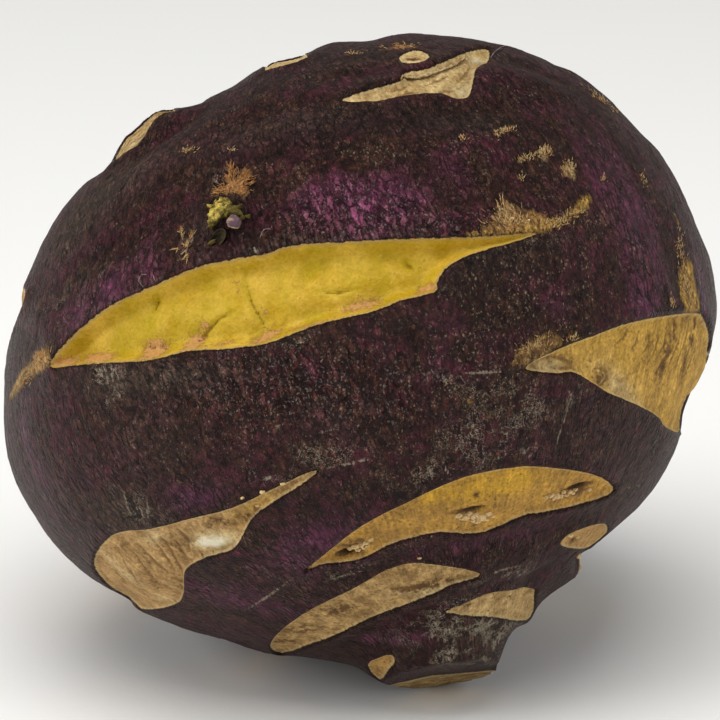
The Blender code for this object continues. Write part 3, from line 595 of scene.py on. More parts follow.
# Tufts of torn fibres: middle in the picture, reach along and across in pixels,
# turn in degrees, how many, the picture place that they point away from, their
# length in millimetres and how orange they are
TUFTS = [
    ((222, 191), 8, 4, 10, 45, (238, 187), 0.7, 1.0), ((231, 176), 4, 9, 0, 45, (233, 192), 0.8, 1.0),
    ((244, 179), 6, 7, 45, 55, (233, 192), 0.8, 1.0), ((242, 191), 5, 5, 0, 40, (232, 182), 0.6, 1.0),
    ((234, 186), 8, 7, 0, 50, (230, 196), 0.6, 0.9), ((188, 247), 3, 3, 0, 16, (186, 252), 0.6, 0.3),
    ((190, 256), 1.5, 6, 0, 14, (190, 240), 0.7, 0.3), ((183, 234), 2, 6, 20, 14, (186, 250), 0.7, 0.3),
    ((193, 238), 1.5, 5, -20, 12, (188, 250), 0.7, 0.3),
    ((180, 250), 5, 1.5, -10, 9, (190, 247), 0.6, 0.3), ((46, 357), 11, 6, 22, 70, (60, 362), 0.8, 0.5),
    ((30, 375), 16, 6, 40, 50, (60, 362), 0.6, 0.2), ((505, 222), 26, 9, 0, 130, (505, 246), 0.55, 0.2),
    ((500, 211), 8, 8, 0, 40, (500, 230), 0.6, 0.3), ((560, 222), 26, 6, 28, 80, (540, 246), 0.5, 0.1),
    ((535, 347), 22, 8, 28, 80, (548, 370), 0.45, 0.1),
    ((149, 352), 10, 7, 10, 60, (149, 362), 0.4, 0.6), ((96, 358), 16, 3, 0, 50, (96, 366), 0.35, 0.6),
    ((196, 344), 9, 4, 48, 40, (200, 352), 0.45, 0.7),
    ((264, 338), 8, 3, 20, 24, (264, 345), 0.35, 0.6),
    ((362, 306), 14, 4, 14, 44, (364, 314), 0.4, 0.6), ((426, 289), 9, 5, 20, 36, (428, 297), 0.4, 0.6),
    ((404, 46), 17, 3, 4, 50, (404, 52), 0.5, 0.6), ((545, 152), 7, 5, 12, 70, (544, 162), 0.4, 0.1),
    ((527, 158), 12, 3, 20, 50, (527, 166), 0.35, 0.1),
    ((568, 170), 6, 9, -30, 90, (568, 184), 0.4, 0.1),
    ((506, 130), 10, 3, 10, 60, (506, 138), 0.35, 0.2),
    ((498, 135), 3, 3, 0, 16, (500, 140), 0.35, 0.2), ((521, 178), 3, 4, 0, 16, (521, 184), 0.3, 0.1),
    ((603, 178), 4, 4, 0, 18, (603, 184), 0.3, 0.1), ((644, 180), 3, 8, 10, 20, (644, 190), 0.3, 0.1),
    ((463, 138), 4, 5, 0, 20, (463, 145), 0.3, 0.5), ((688, 288), 6, 24, 0, 120, (688, 330), 0.4, 0.0),
    ((682, 248), 4, 26, 8, 60, (684, 300), 0.4, 0.0), ((600, 98), 22, 3, -38, 60, (596, 106), 0.4, 0.2),
    ((188, 151), 11, 3, 10, 30, (188, 158), 0.3, 0.0), ((233, 150), 4, 2, 0, 12, (233, 156), 0.3, 0.0),
    ((571, 338), 7, 3, 20, 30, (571, 345), 0.35, 0.1), ((671, 303), 4, 6, 0, 24, (671, 312), 0.35, 0.1),
    ((354, 53), 7, 2, 0, 20, (354, 58), 0.3, 0.1),
]
FIBRE_THICKNESS = 0.11
FIBRE_SEED = 7

# How far the fibres stray to the sides, and how steeply they stand, in degrees
FIBRE_STRAY = 28.0
FIBRE_LIFT = (4.0, 32.0)

# How far the fibres' places spread in their tuft's reach, the least and most of their
# thickness, length, curl and tone, and the radius of the model fibre at its two ends
FIBRE_SPREAD = 0.5
FIBRE_THICKNESSES = (0.7, 1.3)
FIBRE_LENGTHS = (0.5, 1.4)
FIBRE_CURLS = (-0.3, 0.3)
FIBRE_TONES = (-0.5, 0.5)
FIBRE_ROOT = 0.5
FIBRE_TIP = 0.12

# Wrinkles: how strong they are everywhere, and where they are stronger
WRINKLES_EVERYWHERE = 0.35
WRINKLES = [
    ((345, 208), 60, 28, 0, 0.5), ((238, 228), 30, 30, 0, -0.4), ((300, 385), 120, 40, 0, 1.0),
    ((330, 225), 130, 25, 0, 0.5), ((470, 250), 60, 20, 0, 0.5), ((470, 630), 60, 40, 0, 0.4),
    ((520, 90), 80, 25, 0, 0.4),
]

# Where the squares of the body are split once or twice more: on the side that faces
# the viewer, and near an edge, the gash's edge, a line and a pit
FACING = 0.5
EDGE_REACH = 1.2
GASH_REACH = 0.6
LINE_REACH = 0.5
PIT_REACH = 2.0

# The sizes of the finish's forms in millimetres, round, round and along the growth
GRAIN_SIZES = (0.34, 0.34, 0.54)
CRACK_SIZES = (1.0, 1.0, 2.1)
GROOVE_SIZES = (0.9, 0.9, 3.6)
CORK_FIBRE_SIZES = (0.5, 0.5, 3.0)
TEAR_SIZES = (0.45, 0.45, 1.1)
TOOTH_SIZES = (0.38, 0.38, 1.4)

# How strongly the surface mirrors, and how far from an edge, in millimetres, the
# finishes on its two sides can reach
SHEEN = 0.15
EDGE_BAND = 0.7
COMB_BAND = 1.9
PATCH_BAND = 1.9

# The studio: the paper floor with its fibres to a metre, and where the lights point, in metres
PAPER = "#f6f5f2"
PAPER_SHEEN = 0.2
PAPER_FIBRES = 900.0
FLOOR_SIZE = 6.0
LIT_PLACE = (0.0, 0.0, 0.04)


def unit(vectors):
    return vectors / np.linalg.norm(vectors, axis=-1, keepdims=True)


def direction(azimuth, forward):
    """Direction at an angle round the picture, turned toward the viewer."""
    flat = np.cos(forward)
    height = np.sin(forward) + 0 * azimuth
    return np.stack([flat * np.cos(azimuth), flat * np.sin(azimuth), height], axis=-1)


CROWN_AXIS = direction(np.pi / 2 + LEAN_LEFT, -LEAN_BACK)
STUB_AXIS = direction(np.float64(STUB_AZIMUTH), STUB_FORWARD)
CUT_NORMAL = direction(np.float64(CUT_AZIMUTH), CUT_FORWARD)
DOWN = np.array([0.0, -math.cos(TIPPED), -math.sin(TIPPED)])
FRONT = unit(np.array([0.0, 0.0, 1.0]) - CROWN_AXIS[2] * CROWN_AXIS)
SIDE = np.cross(CROWN_AXIS, FRONT)
EYE = np.array([
    (OPTICAL_AXIS[0] - MIDDLE[0]) * PIXEL,
    (MIDDLE[1] - OPTICAL_AXIS[1]) * PIXEL,
    EYE_DISTANCE,
])


def angle_from(directions, axis):
    return np.arccos(np.clip(directions @ axis, -1, 1))


def lumps(directions):
    """Slow swellings: a few waves that run across the body in seeded directions."""
    draw = np.random.default_rng(LUMP_SEED)
    height = np.zeros(directions.shape[:-1])
    for _ in range(LUMPS):
        wave = unit(draw.normal(size=3)) * draw.uniform(*LUMP_WAVES)
        height += np.cos(directions @ wave + draw.uniform(0, 2 * np.pi)) / np.linalg.norm(wave)
    return LUMP_HEIGHT * height


def round_body(directions):
    """The swollen stem, its crown dip and its stub, before the outline shapes it."""
    along = directions @ CROWN_AXIS
    across = np.sqrt(np.maximum(1 - along ** 2, 0))
    height = np.where(along > 0, CROWN_HEIGHT, ROOT_HEIGHT)
    fullness = np.where(along > 0, CROWN_FULLNESS, ROOT_FULLNESS)
    radius = ((across / EQUATOR) ** fullness + (np.abs(along) / height) ** fullness) ** (-1 / fullness)
    from_crown = angle_from(directions, CROWN_AXIS)
    radius -= DIP_DEPTH * np.exp(-(from_crown / DIP_WIDTH) ** 2)
    radius += TIP_HEIGHT * np.exp(-(from_crown / TIP_WIDTH) ** 2)
    from_stub = angle_from(directions, STUB_AXIS)
    radius += STUB_HEIGHT / (1 + (from_stub / STUB_WIDTH) ** 4)
    radius += SPOT_DEPTH * np.exp(-(angle_from(directions, DOWN) / SPOT_WIDTH) ** 2)
    return radius + lumps(directions)


def cut_reach(directions):
    """Distance to the flat face where the root end was cut, large where it isn't met."""
    facing = directions @ CUT_NORMAL
    return np.where(facing > CUT_FACING, CUT_DISTANCE / np.maximum(facing, CUT_FACING), NOT_MET)


def smooth_path(points, closed, steps):
    """A Catmull-Rom curve through the points, with steps points to a span."""
    points = np.asarray(points, float)
    if closed:
        before, start, end, after = (np.roll(points, shift, axis=0) for shift in (1, 0, -1, -2))
    else:
        padded = np.vstack([2 * points[0] - points[1], points, 2 * points[-1] - points[-2]])
        before, start, end, after = padded[:-3], padded[1:-2], padded[2:-1], padded[3:]
    curve = []
    for t in np.arange(steps) / steps:
        part = 2 * start + (end - before) * t + (2 * before - 5 * start + 4 * end - after) * t ** 2
        curve.append(0.5 * (part + (3 * start - before - 3 * end + after) * t ** 3))
    curve = np.stack(curve, axis=1).reshape(-1, points.shape[1])
    return curve if closed else np.vstack([curve, points[-1]])


def in_plane(pixels):
    """Picture places as millimetres right of and above the body's middle."""
    pixels = np.asarray(pixels, float)
    return np.stack([(pixels[..., 0] - MIDDLE[0]) * PIXEL, (MIDDLE[1] - pixels[..., 1]) * PIXEL], axis=-1)


def traced_reach(azimuths):
    """How far the traced outline is from the middle at each angle round it."""
    traced = in_plane(smooth_path(OUTLINE, True, 4))
    angles = np.arctan2(traced[:, 1], traced[:, 0])
    order = np.argsort(angles)
    return np.interp(azimuths, angles[order], np.hypot(*traced.T)[order], period=2 * np.pi)


# The angles round the picture, and the depths behind and before the body's middle, that
# the outline is worked out for
OUTLINE_ANGLES = np.radians(np.arange(0.0, 360.0, 1.0))
OUTLINE_DEPTHS = np.radians(np.arange(-30.0, 40.0, 1.0))


def seen_reach(radius_of):
    """The outline that the eye sees of a body: its reach and depth at each angle."""
    azimuth, depth = np.meshgrid(OUTLINE_ANGLES, OUTLINE_DEPTHS, indexing="ij")
    directions = direction(azimuth, depth).reshape(-1, 3)
    points = directions * radius_of(directions)[:, None]
    scale = EYE[2] / (EYE[2] - points[:, 2])
    seen = EYE[:2] + (points[:, :2] - EYE[:2]) * scale[:, None]
    reach = np.hypot(seen[:, 0], seen[:, 1]).reshape(azimuth.shape)
    best = np.argmax(reach, axis=1)
    return reach[np.arange(len(best)), best], OUTLINE_DEPTHS[best]


def around_mean(values, width):
    """A moving mean round the ring of outline angles, weighted as a bell."""
    offsets = np.arange(-3 * width, 3 * width + 1)
    weights = np.exp(-0.5 * (offsets / width) ** 2)
    return sum(w * np.roll(values, o) for w, o in zip(weights, offsets)) / weights.sum()


class Outline:
    """What the traced outline adds to the round body, near the edge of its view."""

    def __init__(self):
        self.wanted = traced_reach(OUTLINE_ANGLES)
        self.added = np.zeros(len(OUTLINE_ANGLES))
        self.broad = self.added
        self.depth = around_mean(seen_reach(round_body)[1], SWEEP_SMOOTHING)

    def fit(self, radius_of):
        """Bring the outline that the eye sees of a body to the traced one."""
        for _ in range(OUTLINE_ROUNDS):
            missing = self.wanted - seen_reach(radius_of)[0]
            self.added = np.clip(self.added + missing, -OUTLINE_MOST, OUTLINE_MOST)
            self.broad = around_mean(self.added, SWEEP_SMOOTHING)

    def add(self, directions):
        azimuth = np.arctan2(directions[..., 1], directions[..., 0])
        forward = np.arcsin(np.clip(directions[..., 2], -1, 1))

        def at(values):
            return np.interp(azimuth, OUTLINE_ANGLES, values, period=2 * np.pi)

        away = forward - at(self.depth)
        broad = at(self.broad)
        return (broad * np.exp(-(away / SWEEP_REACH) ** 2)
                + (at(self.added) - broad) * np.exp(-(away / STEP_REACH) ** 2))


OUTLINE_SHAPE = Outline()


def skin_radius(directions):
    """The body without scars and folds."""
    return np.minimum(round_body(directions) + OUTLINE_SHAPE.add(directions), cut_reach(directions))


OUTLINE_SHAPE.fit(skin_radius)


def on_body(places):
    """Directions to the places on the body that picture places show.

    Each place is looked up along its line of sight, where that line first
    meets the body, or where it leaves it for a place marked FAR.
    """
    flat = in_plane([place[:2] for place in places])
    far = np.array([len(place) > 2 for place in places])
    forward = np.linspace(SIGHT_REACH, -SIGHT_REACH, SIGHT_STEPS)
    scale = (EYE[2] - forward) / EYE[2]
    sight = np.empty((len(flat), len(forward), 3))
    sight[..., :2] = EYE[:2] + (flat[:, None, :] - EYE[:2]) * scale[:, None]
    sight[..., 2] = forward
    outside = np.linalg.norm(sight, axis=-1) - skin_radius(unit(sight))
    within = outside < 0
    first = np.argmax(within, axis=1)
    last = len(forward) - 1 - np.argmax(within[:, ::-1], axis=1)
    chosen = np.where(far, last, first)
    chosen = np.where(within.any(axis=1), chosen, np.argmin(outside, axis=1))
    return unit(sight[np.arange(len(flat)), chosen])


class Chart:
    """A flat map of the body's surface round one direction, in millimetres."""

    def __init__(self, middle):
        self.middle = unit(middle)
        self.right = unit(np.cross([0.0, 1.0, 0.0], self.middle))
        self.up = np.cross(self.middle, self.right)

    def flat(self, directions):
        across = directions @ self.right
        up = directions @ self.up
        size = np.maximum(np.hypot(across, up), 1e-12)
        arc = np.arctan2(size, directions @ self.middle) * SURFACE_RADIUS
        return np.stack([across / size * arc, up / size * arc], axis=-1)


def path_distance(points, path, closed):
    """Distance from each point to a path, and where along the path that is.

    For a closed path the distance is negative inside it.
    """
    nearest = np.full(len(points), np.inf)
    where = np.zeros(len(points))
    inside = np.zeros(len(points), bool)
    ends = np.roll(path, -1, axis=0) if closed else path[1:]
    for index, (start, end) in enumerate(zip(path, ends)):
        step = end - start
        away = points - start
        share = np.clip(away @ step / max(step @ step, 1e-12), 0, 1)
        gap = np.hypot(away[:, 0] - share * step[0], away[:, 1] - share * step[1])
        closer = gap < nearest
        nearest = np.where(closer, gap, nearest)
        where = np.where(closer, (index + share) / len(ends), where)
        if closed and step[1] != 0:
            level = (start[1] > points[:, 1]) != (end[1] > points[:, 1])
            inside ^= level & (points[:, 0] < start[0] + (points[:, 1] - start[1]) * step[0] / step[1])
    return np.where(inside, -nearest, nearest), where


FAR_AWAY = 99.0

# How far past a region's edge its distance is worked out, in radians, and how wide the
# wall of a scar is, in millimetres, and how much wider for each millimetre of its depth
REGION_MARGIN = 0.35
WALL_WIDTH = 0.35
WALL_SLOPE = 0.35


class Region:
    """An area of the surface inside a closed edge."""

    def __init__(self, edge):
        self.edge = unit(edge)
        self.chart = Chart(self.edge.mean(axis=0))
        self.loop = self.chart.flat(self.edge)
        self.reach = angle_from(self.edge, self.chart.middle).max()

    def distance(self, directions):
        """Distance to the edge in millimetres, negative inside, large far away."""
        result = np.full(len(directions), FAR_AWAY)
        near = angle_from(directions, self.chart.middle) < self.reach + REGION_MARGIN
        if near.any():
            result[near] = path_distance(self.chart.flat(directions[near]), self.loop, True)[0]
        return result


class Scar(Region):
    """A leaf scar: a floor sunk inside a closed edge, with a lip of skin round it."""

    def __init__(self, edge, sink, lip, lip_width, tint):
        super().__init__(edge)
        self.sink = sink
        self.lip = lip
        self.lip_width = lip_width
        self.wall = WALL_WIDTH + WALL_SLOPE * sink
        self.tint = np.array(tint)

    def height(self, distance):
        floor = np.clip(0.5 - distance / (2 * self.wall), 0, 1)
        floor = floor * floor * (3 - 2 * floor)
        lip = np.exp(-(np.maximum(distance, 0) / self.lip_width) ** 2)
        return self.lip * lip * (1 - floor) - self.sink * floor


def axis_direction(longitude, latitude):
    """Directions at longitudes and latitudes of the growth axis, longitude 0 facing the viewer."""
    turned = np.outer(np.cos(longitude), FRONT) + np.outer(np.sin(longitude), SIDE)
    return np.cos(latitude)[:, None] * turned + np.outer(np.sin(latitude), CROWN_AXIS)


def ruled_scar(leaf, draw):
    """The lens-shaped scar of a leaf on the hidden side, lying along its latitude."""
    longitude = math.radians(GASH_LONGITUDE + leaf * GOLDEN_ANGLE)
    latitude = math.radians(np.interp(leaf, LEAF_AT, LATITUDE_AT))
    half_angle = math.radians(np.interp(leaf, LEAF_AT, HALF_ANGLE_AT)) * HIDDEN_LEAVES[leaf]
    half_height = np.interp(leaf, LEAF_AT, HALF_HEIGHT_AT) * draw.uniform(0.8, 1.2)
    slope = draw.uniform(-0.06, 0.06)
    start = draw.uniform(0, 2 * np.pi, size=3)
    turn = np.linspace(0, 2 * np.pi, 32, endpoint=False)
    across = np.cos(turn)
    pinched = np.abs(np.sin(turn)) ** 1.4 * np.sign(np.sin(turn))
    waves = 1 + 0.16 * np.cos(2 * turn + start[0]) + 0.1 * np.cos(5 * turn + start[1])
    up = half_height * pinched * waves + 0.6 * np.cos(2.2 * across + start[2])
    return axis_direction(longitude + half_angle * across, latitude + slope * across + up / SURFACE_RADIUS)


def hidden_scars():
    draw = np.random.default_rng(SCAR_SEED)
    tones = np.random.default_rng(SCAR_SEED + 1)
    return [
        Scar(ruled_scar(leaf, draw), *HIDDEN_SCAR_SIZES, tones.uniform((0, 0, 0.1), (0.4, 0.3, 0.7)))
        for leaf in HIDDEN_LEAVES
    ]


class Fold:
    """A groove or a ridge of skin along a path, fading out at its ends."""

    def __init__(self, places, width, height):
        self.path = on_body([tuple(place) for place in smooth_path(places, False, 6)])
        self.width = width
        self.raised = height
        self.chart = Chart(self.path.mean(axis=0))
        self.line = self.chart.flat(self.path)
        self.reach = angle_from(self.path, self.chart.middle).max() + 3 * width / SURFACE_RADIUS

    def measure(self, directions):
        """Distance to the path in millimetres, and how little the form has faded there."""
        away = np.full(len(directions), FAR_AWAY)
        fade = np.zeros(len(directions))
        near = angle_from(directions, self.chart.middle) < self.reach
        if near.any():
            away[near], where = path_distance(self.chart.flat(directions[near]), self.line, False)
            fade[near] = np.sin(np.pi * np.clip(0.12 + 0.76 * where, 0, 1))
        return away, fade

    def height(self, directions):
        away, fade = self.measure(directions)
        return self.raised * fade * np.exp(-(away / self.width) ** 2)

    def away(self, directions):
        """Distance to the path, longer toward its fading ends."""
        away, fade = self.measure(directions)
        return np.minimum(away + 0.5 * (1 - fade), FAR_AWAY)


class Knob:
    """A small round or long swelling, or a pit where its height is negative."""

    def __init__(self, place, along, across, turned, height):
        self.chart = Chart(on_body([place])[0])
        self.turned = math.radians(turned)
        self.along = along
        self.across = across
        self.raised = height

    def reach(self, directions):
        """How far out each direction is, 1 at the end of its length or width."""
        flat = self.chart.flat(directions)
        cosine, sine = math.cos(self.turned), math.sin(self.turned)
        along = (flat[:, 0] * cosine + flat[:, 1] * sine) / self.along
        across = (flat[:, 1] * cosine - flat[:, 0] * sine) / self.across
        return np.hypot(along, across)

    def height(self, directions):
        return self.raised * np.exp(-self.reach(directions) ** 2)


def blot(place, along, across, turned, strength):
    """A soft blot of tint, its reach given in pixels of the picture."""
    return Knob(place, along * PIXEL, across * PIXEL, turned, strength)


def traced_edge(places):
    """The smooth edge of a traced area, as directions on the body."""
    marked = [(place[0], place[1], len(place) > 2) for place in places]
    curve = smooth_path(marked, True, 5)
    return on_body([(x, y, FAR) if far > 0.5 else (x, y) for x, y, far in curve])


SCARS = [Scar(traced_edge(places), *sizes) for places, *sizes in FRONT_SCARS] + hidden_scars()
LINE_FORMS = [Fold(path, 1.0, 1.0) for path in CREASES + CORK_LINES]
HOLLOW_FORMS = [Fold(path, HOLLOW_WIDTH, -HOLLOW_DEPTH) for path in HOLLOWS]
PIT_FORMS = [Knob(*pit) for pit in PITS]
FOLD_FORMS = [Fold(*fold) for fold in FOLDS]
KNOB_FORMS = [Knob(*knob) for knob in KNOBS]


def surface_radius(directions):
    """Distance from the middle to the surface in each direction, without the fine relief."""
    radius = round_body(directions) + OUTLINE_SHAPE.add(directions)
    for form in FOLD_FORMS + KNOB_FORMS:
        radius += form.height(directions)
    for scar in SCARS:
        radius += scar.height(scar.distance(directions))
    return np.minimum(radius, cut_reach(directions))


OUTLINE_SHAPE.fit(surface_radius)


def to_table(points):
    """Bring the body from the picture plane to how it lies, still in millimetres."""
    sine, cosine = math.sin(TIPPED), math.cos(TIPPED)
    right, up, forward = points.T
    tipped = np.stack([right, up * sine - forward * cosine, up * cosine + forward * sine], axis=1)
    return tipped + MIDDLE_AT_REST


def growth_places(directions):
    """Places wound round the growth axis, in millimetres, for what runs along the growth."""
    up = np.clip(directions @ CROWN_AXIS, -1, 1)
    longitude = np.arctan2(directions @ SIDE, directions @ FRONT)
    across = SURFACE_RADIUS * np.stack([np.cos(longitude), np.sin(longitude)], axis=1)
    return np.column_stack([across, SURFACE_RADIUS * np.arcsin(up)])


def soft_noise(points, sizes):
    """Smooth noise from about -1 to 1, its forms of one size or of one for each axis."""
    return np.array([noise.noise(place) for place in (points / np.array(sizes)).tolist()])


def ridge_lines(points, sizes):
    """Thin lines where smooth noise crosses zero: 1 on a line, 0 between them."""
    return np.clip(1 - 4.0 * np.abs(soft_noise(points, sizes)), 0, 1)


def smooth_step(values, low, high):
    share = np.clip((values - low) / (high - low), 0, 1)
    return share * share * (3 - 2 * share)


def add_up(blots, directions):
    return sum(blot(*values).height(directions) for values in blots)


def line_distance(directions):
    return np.min([line.away(directions) for line in LINE_FORMS], axis=0)


class SurfaceFields:
    """All that the finish and the fine relief need to know of each direction."""

    def __init__(self, directions):
        points = directions * SURFACE_RADIUS
        self.growth = growth_places(directions)
        distances = [scar.distance(directions) for scar in SCARS]
        self.gash = distances[0]
        self.scar = np.min(distances[1:], axis=0)
        nearest = np.argmin(distances[1:], axis=0)
        self.cut = self.cut_distance(directions)
        patches = [Region(traced_edge(places)).distance(directions) for places in PATCHES]
        for place, along, across, turned in FLECKS:
            fleck = blot(place, along, across, turned, 1.0)
            patches.append((fleck.reach(directions) - 1) * fleck.across + FLECK_THINNING)
        self.patch = np.minimum(np.min(patches, axis=0), FAR_AWAY)
        # The painted shade of the skin, negative where it is painted light, comes with the chalk, the comb
        # and the crumbs from their blots
        self.chalk, self.shade, self.comb, self.peach = (
            add_up(blots, directions) for blots in (CHALK, SHADE_AND_LIGHT, COMB, PEACH))
        self.crease = line_distance(directions)
        self.scratch = np.min([Fold(path, 1.0, 1.0).away(directions) for path in SCRATCHES], axis=0)
        self.pits = sum(form.height(directions) for form in PIT_FORMS)
        self.hollows = sum(form.height(directions) for form in HOLLOW_FORMS)
        self.pillows = soft_noise(points, PILLOW_SIZE) + 0.45 * soft_noise(points + 20.0, DIMPLE_SIZE)

        # The viewer's side is tinted by its blots, and the far side by slow noise
        front = smooth_step(directions[:, 2], -0.15, 0.3)
        drift = [soft_noise(points + 50.0 * step, DRIFT_SIZE) for step in range(2)]
        self.purple, self.dust, specks, wrinkles = (
            front * add_up(blots, directions) + (1 - front) * hidden
            for blots, hidden in (
                (PURPLE, np.clip(0.35 + 1.4 * drift[0], 0, 1)),
                (DUST, np.clip(0.4 + 1.4 * drift[1], 0, 1)),
                (SPECKS, 0.3),
                (WRINKLES, 0.0),
            )
        )
        self.specks = SPECKS_EVERYWHERE + specks
        self.wrinkles = WRINKLES_EVERYWHERE + wrinkles
        tints = np.array([scar.tint for scar in SCARS[1:]])[nearest]
        tints = np.where((self.cut < self.scar)[:, None], CUT_TINT, tints)
        self.pale, brown, self.yellow = (
            tint + add_up(blots, directions)
            for tint, blots in zip(tints.T, (PALE_CORK, BROWN_CORK, YELLOW_CORK)))
        # In the gash the brown field holds how sunk the flesh is, for painted shade in its hollows and
        # sunken pillows; in the scars the pits add painted shade to it
        sunk = np.clip(-self.pillows, 0, 1) - 2.0 * self.hollows
        self.brown = np.where(self.gash < 0, np.clip(sunk, 0, 1), brown - PIT_DARKNESS * self.pits)

    @staticmethod
    def cut_distance(directions):
        """Distance to the edge of the bare part of the cut face, negative on it."""
        reach = cut_reach(directions)
        uncut = round_body(directions) + OUTLINE_SHAPE.add(directions)
        to_cut = np.clip((reach - uncut) * CUT_STEEPNESS, -FAR_AWAY, FAR_AWAY)
        across, up = (directions * np.minimum(reach, CUT_TOP_REACH)[:, None])[:, :2].T
        edge = (np.array(CUT_EDGE) - MIDDLE) * PIXEL
        return np.maximum(to_cut, up + np.interp(across, edge[:, 0], edge[:, 1]))


def fine_relief(directions, fields, shape):
    """What stands on the plain surface: wrinkles, the flesh's pillows and creases, cork's fibres."""
    points = directions * SURFACE_RADIUS
    in_gash = smooth_step(-fields.gash, 0.0, 0.7)
    in_scar = smooth_step(-fields.scar, 0.0, 0.6)
    skin = smooth_step(np.minimum(fields.gash, fields.scar), 0.0, 0.8) * (fields.cut > 0)
    near_pole = smooth_step(np.abs(fields.growth[:, 2]) / SURFACE_RADIUS, 1.0, 1.4)
    bent = fields.growth + 0.6 * soft_noise(points + 90.0, BEND_SIZE)[:, None]
    coarse = ridge_lines(bent, COARSE_SIZES)
    fine = ridge_lines(bent + 30.0, FINE_SIZES)
    level = ridge_lines(bent + 60.0, LEVEL_SIZES)
    wrinkled = (0.5 * coarse + 0.5 * fine + 0.4 * level) * fields.wrinkles * (1 - near_pole)
    relief = -shape.wrinkle_depth * wrinkled * skin
    relief += SCARS[0].height(fields.gash + WALL_INWARD) - SCARS[0].height(fields.gash)
    bulge = smooth_step(-fields.gash, 0.3, 4.5)
    flesh = shape.flesh_bulge * bulge + PILLOW_HEIGHT * fields.pillows
    flesh -= CREASE_DEPTH * np.exp(-(fields.crease / CREASE_WIDTH) ** 2)
    flesh += fields.hollows
    relief += (flesh + 0.3 * crumble(points) * np.clip(fields.peach, 0, 1)) * in_gash
    fibres = ridge_lines(fields.growth, RIDGE_SIZES)
    cork = shape.cork_relief * (0.8 * soft_noise(points, KNOT_SIZE) - 0.6 * fibres)
    cork -= CORK_LINE_DEPTH * np.exp(-(fields.crease / CORK_LINE_WIDTH) ** 2)
    relief += (cork + fields.pits) * in_scar
    patch = smooth_step(-fields.patch, -0.2, 0.5)
    relief += PATCH_HEIGHT * patch * (1 + crumble(points)) * skin
    return relief


def crumble(points):
    """Crumbly relief, from about -1 to 1."""
    return soft_noise(points + 33.0, CRUMB_SIZE) + 0.5 * soft_noise(points + 66.0, CRUMB_SIZE / 2)


def places_of(piece):
    flat = np.empty(len(piece.data.vertices) * 3)
    piece.data.vertices.foreach_get("co", flat)
    return flat.reshape(-1, 3)


def set_places(piece, points):
    piece.data.vertices.foreach_set("co", np.asarray(points, float).ravel())
    piece.data.update()


def inside_box(points):
    """Places in millimetres as metres, kept inside the box of the solid."""
    return np.clip(points * MM, *(np.array(corner) for corner in CAD_BOX))


def even_ball(cells):
    """A cube split into squares and blown up to a ball of nearly even squares."""
    bpy.ops.mesh.primitive_cube_add(size=2.0)
    ball = bpy.context.object
    bpy.ops.object.mode_set(mode="EDIT")
    bpy.ops.mesh.select_all(action="SELECT")
    bpy.ops.mesh.subdivide(number_cuts=cells - 1)
    bpy.ops.object.mode_set(mode="OBJECT")
    set_places(ball, unit(np.tan(places_of(ball) * math.pi / 4)))
    return ball


def split_where(ball, wanted):
    """Split the squares of the ball whose middle direction is wanted."""
    middles = np.empty(len(ball.data.polygons) * 3)
    ball.data.polygons.foreach_get("center", middles)
    chosen = wanted(unit(middles.reshape(-1, 3)))
    bpy.context.tool_settings.mesh_select_mode = (False, False, True)
    bpy.ops.object.mode_set(mode="EDIT")
    bpy.ops.mesh.select_all(action="DESELECT")
    bpy.ops.object.mode_set(mode="OBJECT")
    ball.data.polygons.foreach_set("select", chosen)
    bpy.ops.object.mode_set(mode="EDIT")
    bpy.ops.mesh.subdivide(number_cuts=1, ngon=False)
    bpy.ops.object.mode_set(mode="OBJECT")
    set_places(ball, unit(places_of(ball)))


def edge_distance(directions):
    return np.min([np.abs(scar.distance(directions)) for scar in SCARS], axis=0)


def pit_distance(directions):
    """Distance to the nearest pit, in times its own reach."""
    return np.min([form.reach(directions) for form in PIT_FORMS], axis=0)


def keep_field(piece, name, values):
    """Keep a number or a vector for each vertex, for the finish to read."""
    values = np.asarray(values, np.float32)
    kind, part = ("FLOAT", "value") if values.ndim == 1 else ("FLOAT_VECTOR", "vector")
    field = piece.data.attributes.new(name, kind, "POINT")
    field.data.foreach_set(part, values.ravel())


def perches(places):
    """Where picture places are on the body in millimetres, and its right, up and outward there."""
    middles = on_body(places)
    right = unit(np.cross([0.0, 1.0, 0.0], middles))
    up = np.cross(middles, right)
    around = unit(np.concatenate([middles, middles + 0.01 * right, middles + 0.01 * up]))
    start, beside, above = np.split(to_table(around * surface_radius(around)[:, None]), 3)
    across = unit(beside - start)
    outward = unit(np.cross(across, above - start))
    return start, np.stack([across, np.cross(outward, across), outward], axis=1)


def turned_flat(points, degrees):
    """Points turned about their Z."""
    cosine, sine = math.cos(math.radians(degrees)), math.sin(math.radians(degrees))
    x, y, z = points.T
    return np.stack([x * cosine - y * sine, x * sine + y * cosine, z], axis=1)


def stand(piece, points, place, degrees):
    """Stand a form, in millimetres about its own middle, at a picture place on the body."""
    starts, frames = perches([place])
    set_places(piece, inside_box(starts[0] + turned_flat(points, degrees) @ frames[0]))


def choose(*pieces):
    """Select these pieces alone, the first one as the active one."""
    bpy.ops.object.select_all(action="DESELECT")
    for piece in pieces:
        piece.select_set(True)
    bpy.context.view_layer.objects.active = pieces[0]


def join(pieces):
    choose(*pieces)
    bpy.ops.object.join()
    return pieces[0]


def add_lump(place, sizes, degrees, seed, crumbs, fineness):
    """An irregular round lump that sits half sunk in the skin, its sizes in millimetres."""
    bpy.ops.mesh.primitive_ico_sphere_add(subdivisions=fineness, radius=1.0)
    lump = bpy.context.object
    points = places_of(lump)
    rough = soft_noise(points + 10.0 * seed, 0.8) + 0.6 * soft_noise(points - 10.0 * seed, 0.35)
    stand(lump, points * (1 + crumbs * rough)[:, None] * np.array(sizes), place, degrees)
    return lump


def apply_modifier(piece, kind, **settings):
    choose(piece)
    bpy.ops.object.modifier_add(type=kind)
    modifier = piece.modifiers[-1]
    for name, value in settings.items():
        setattr(modifier, name, value)
    bpy.ops.object.modifier_apply(modifier=modifier.name)


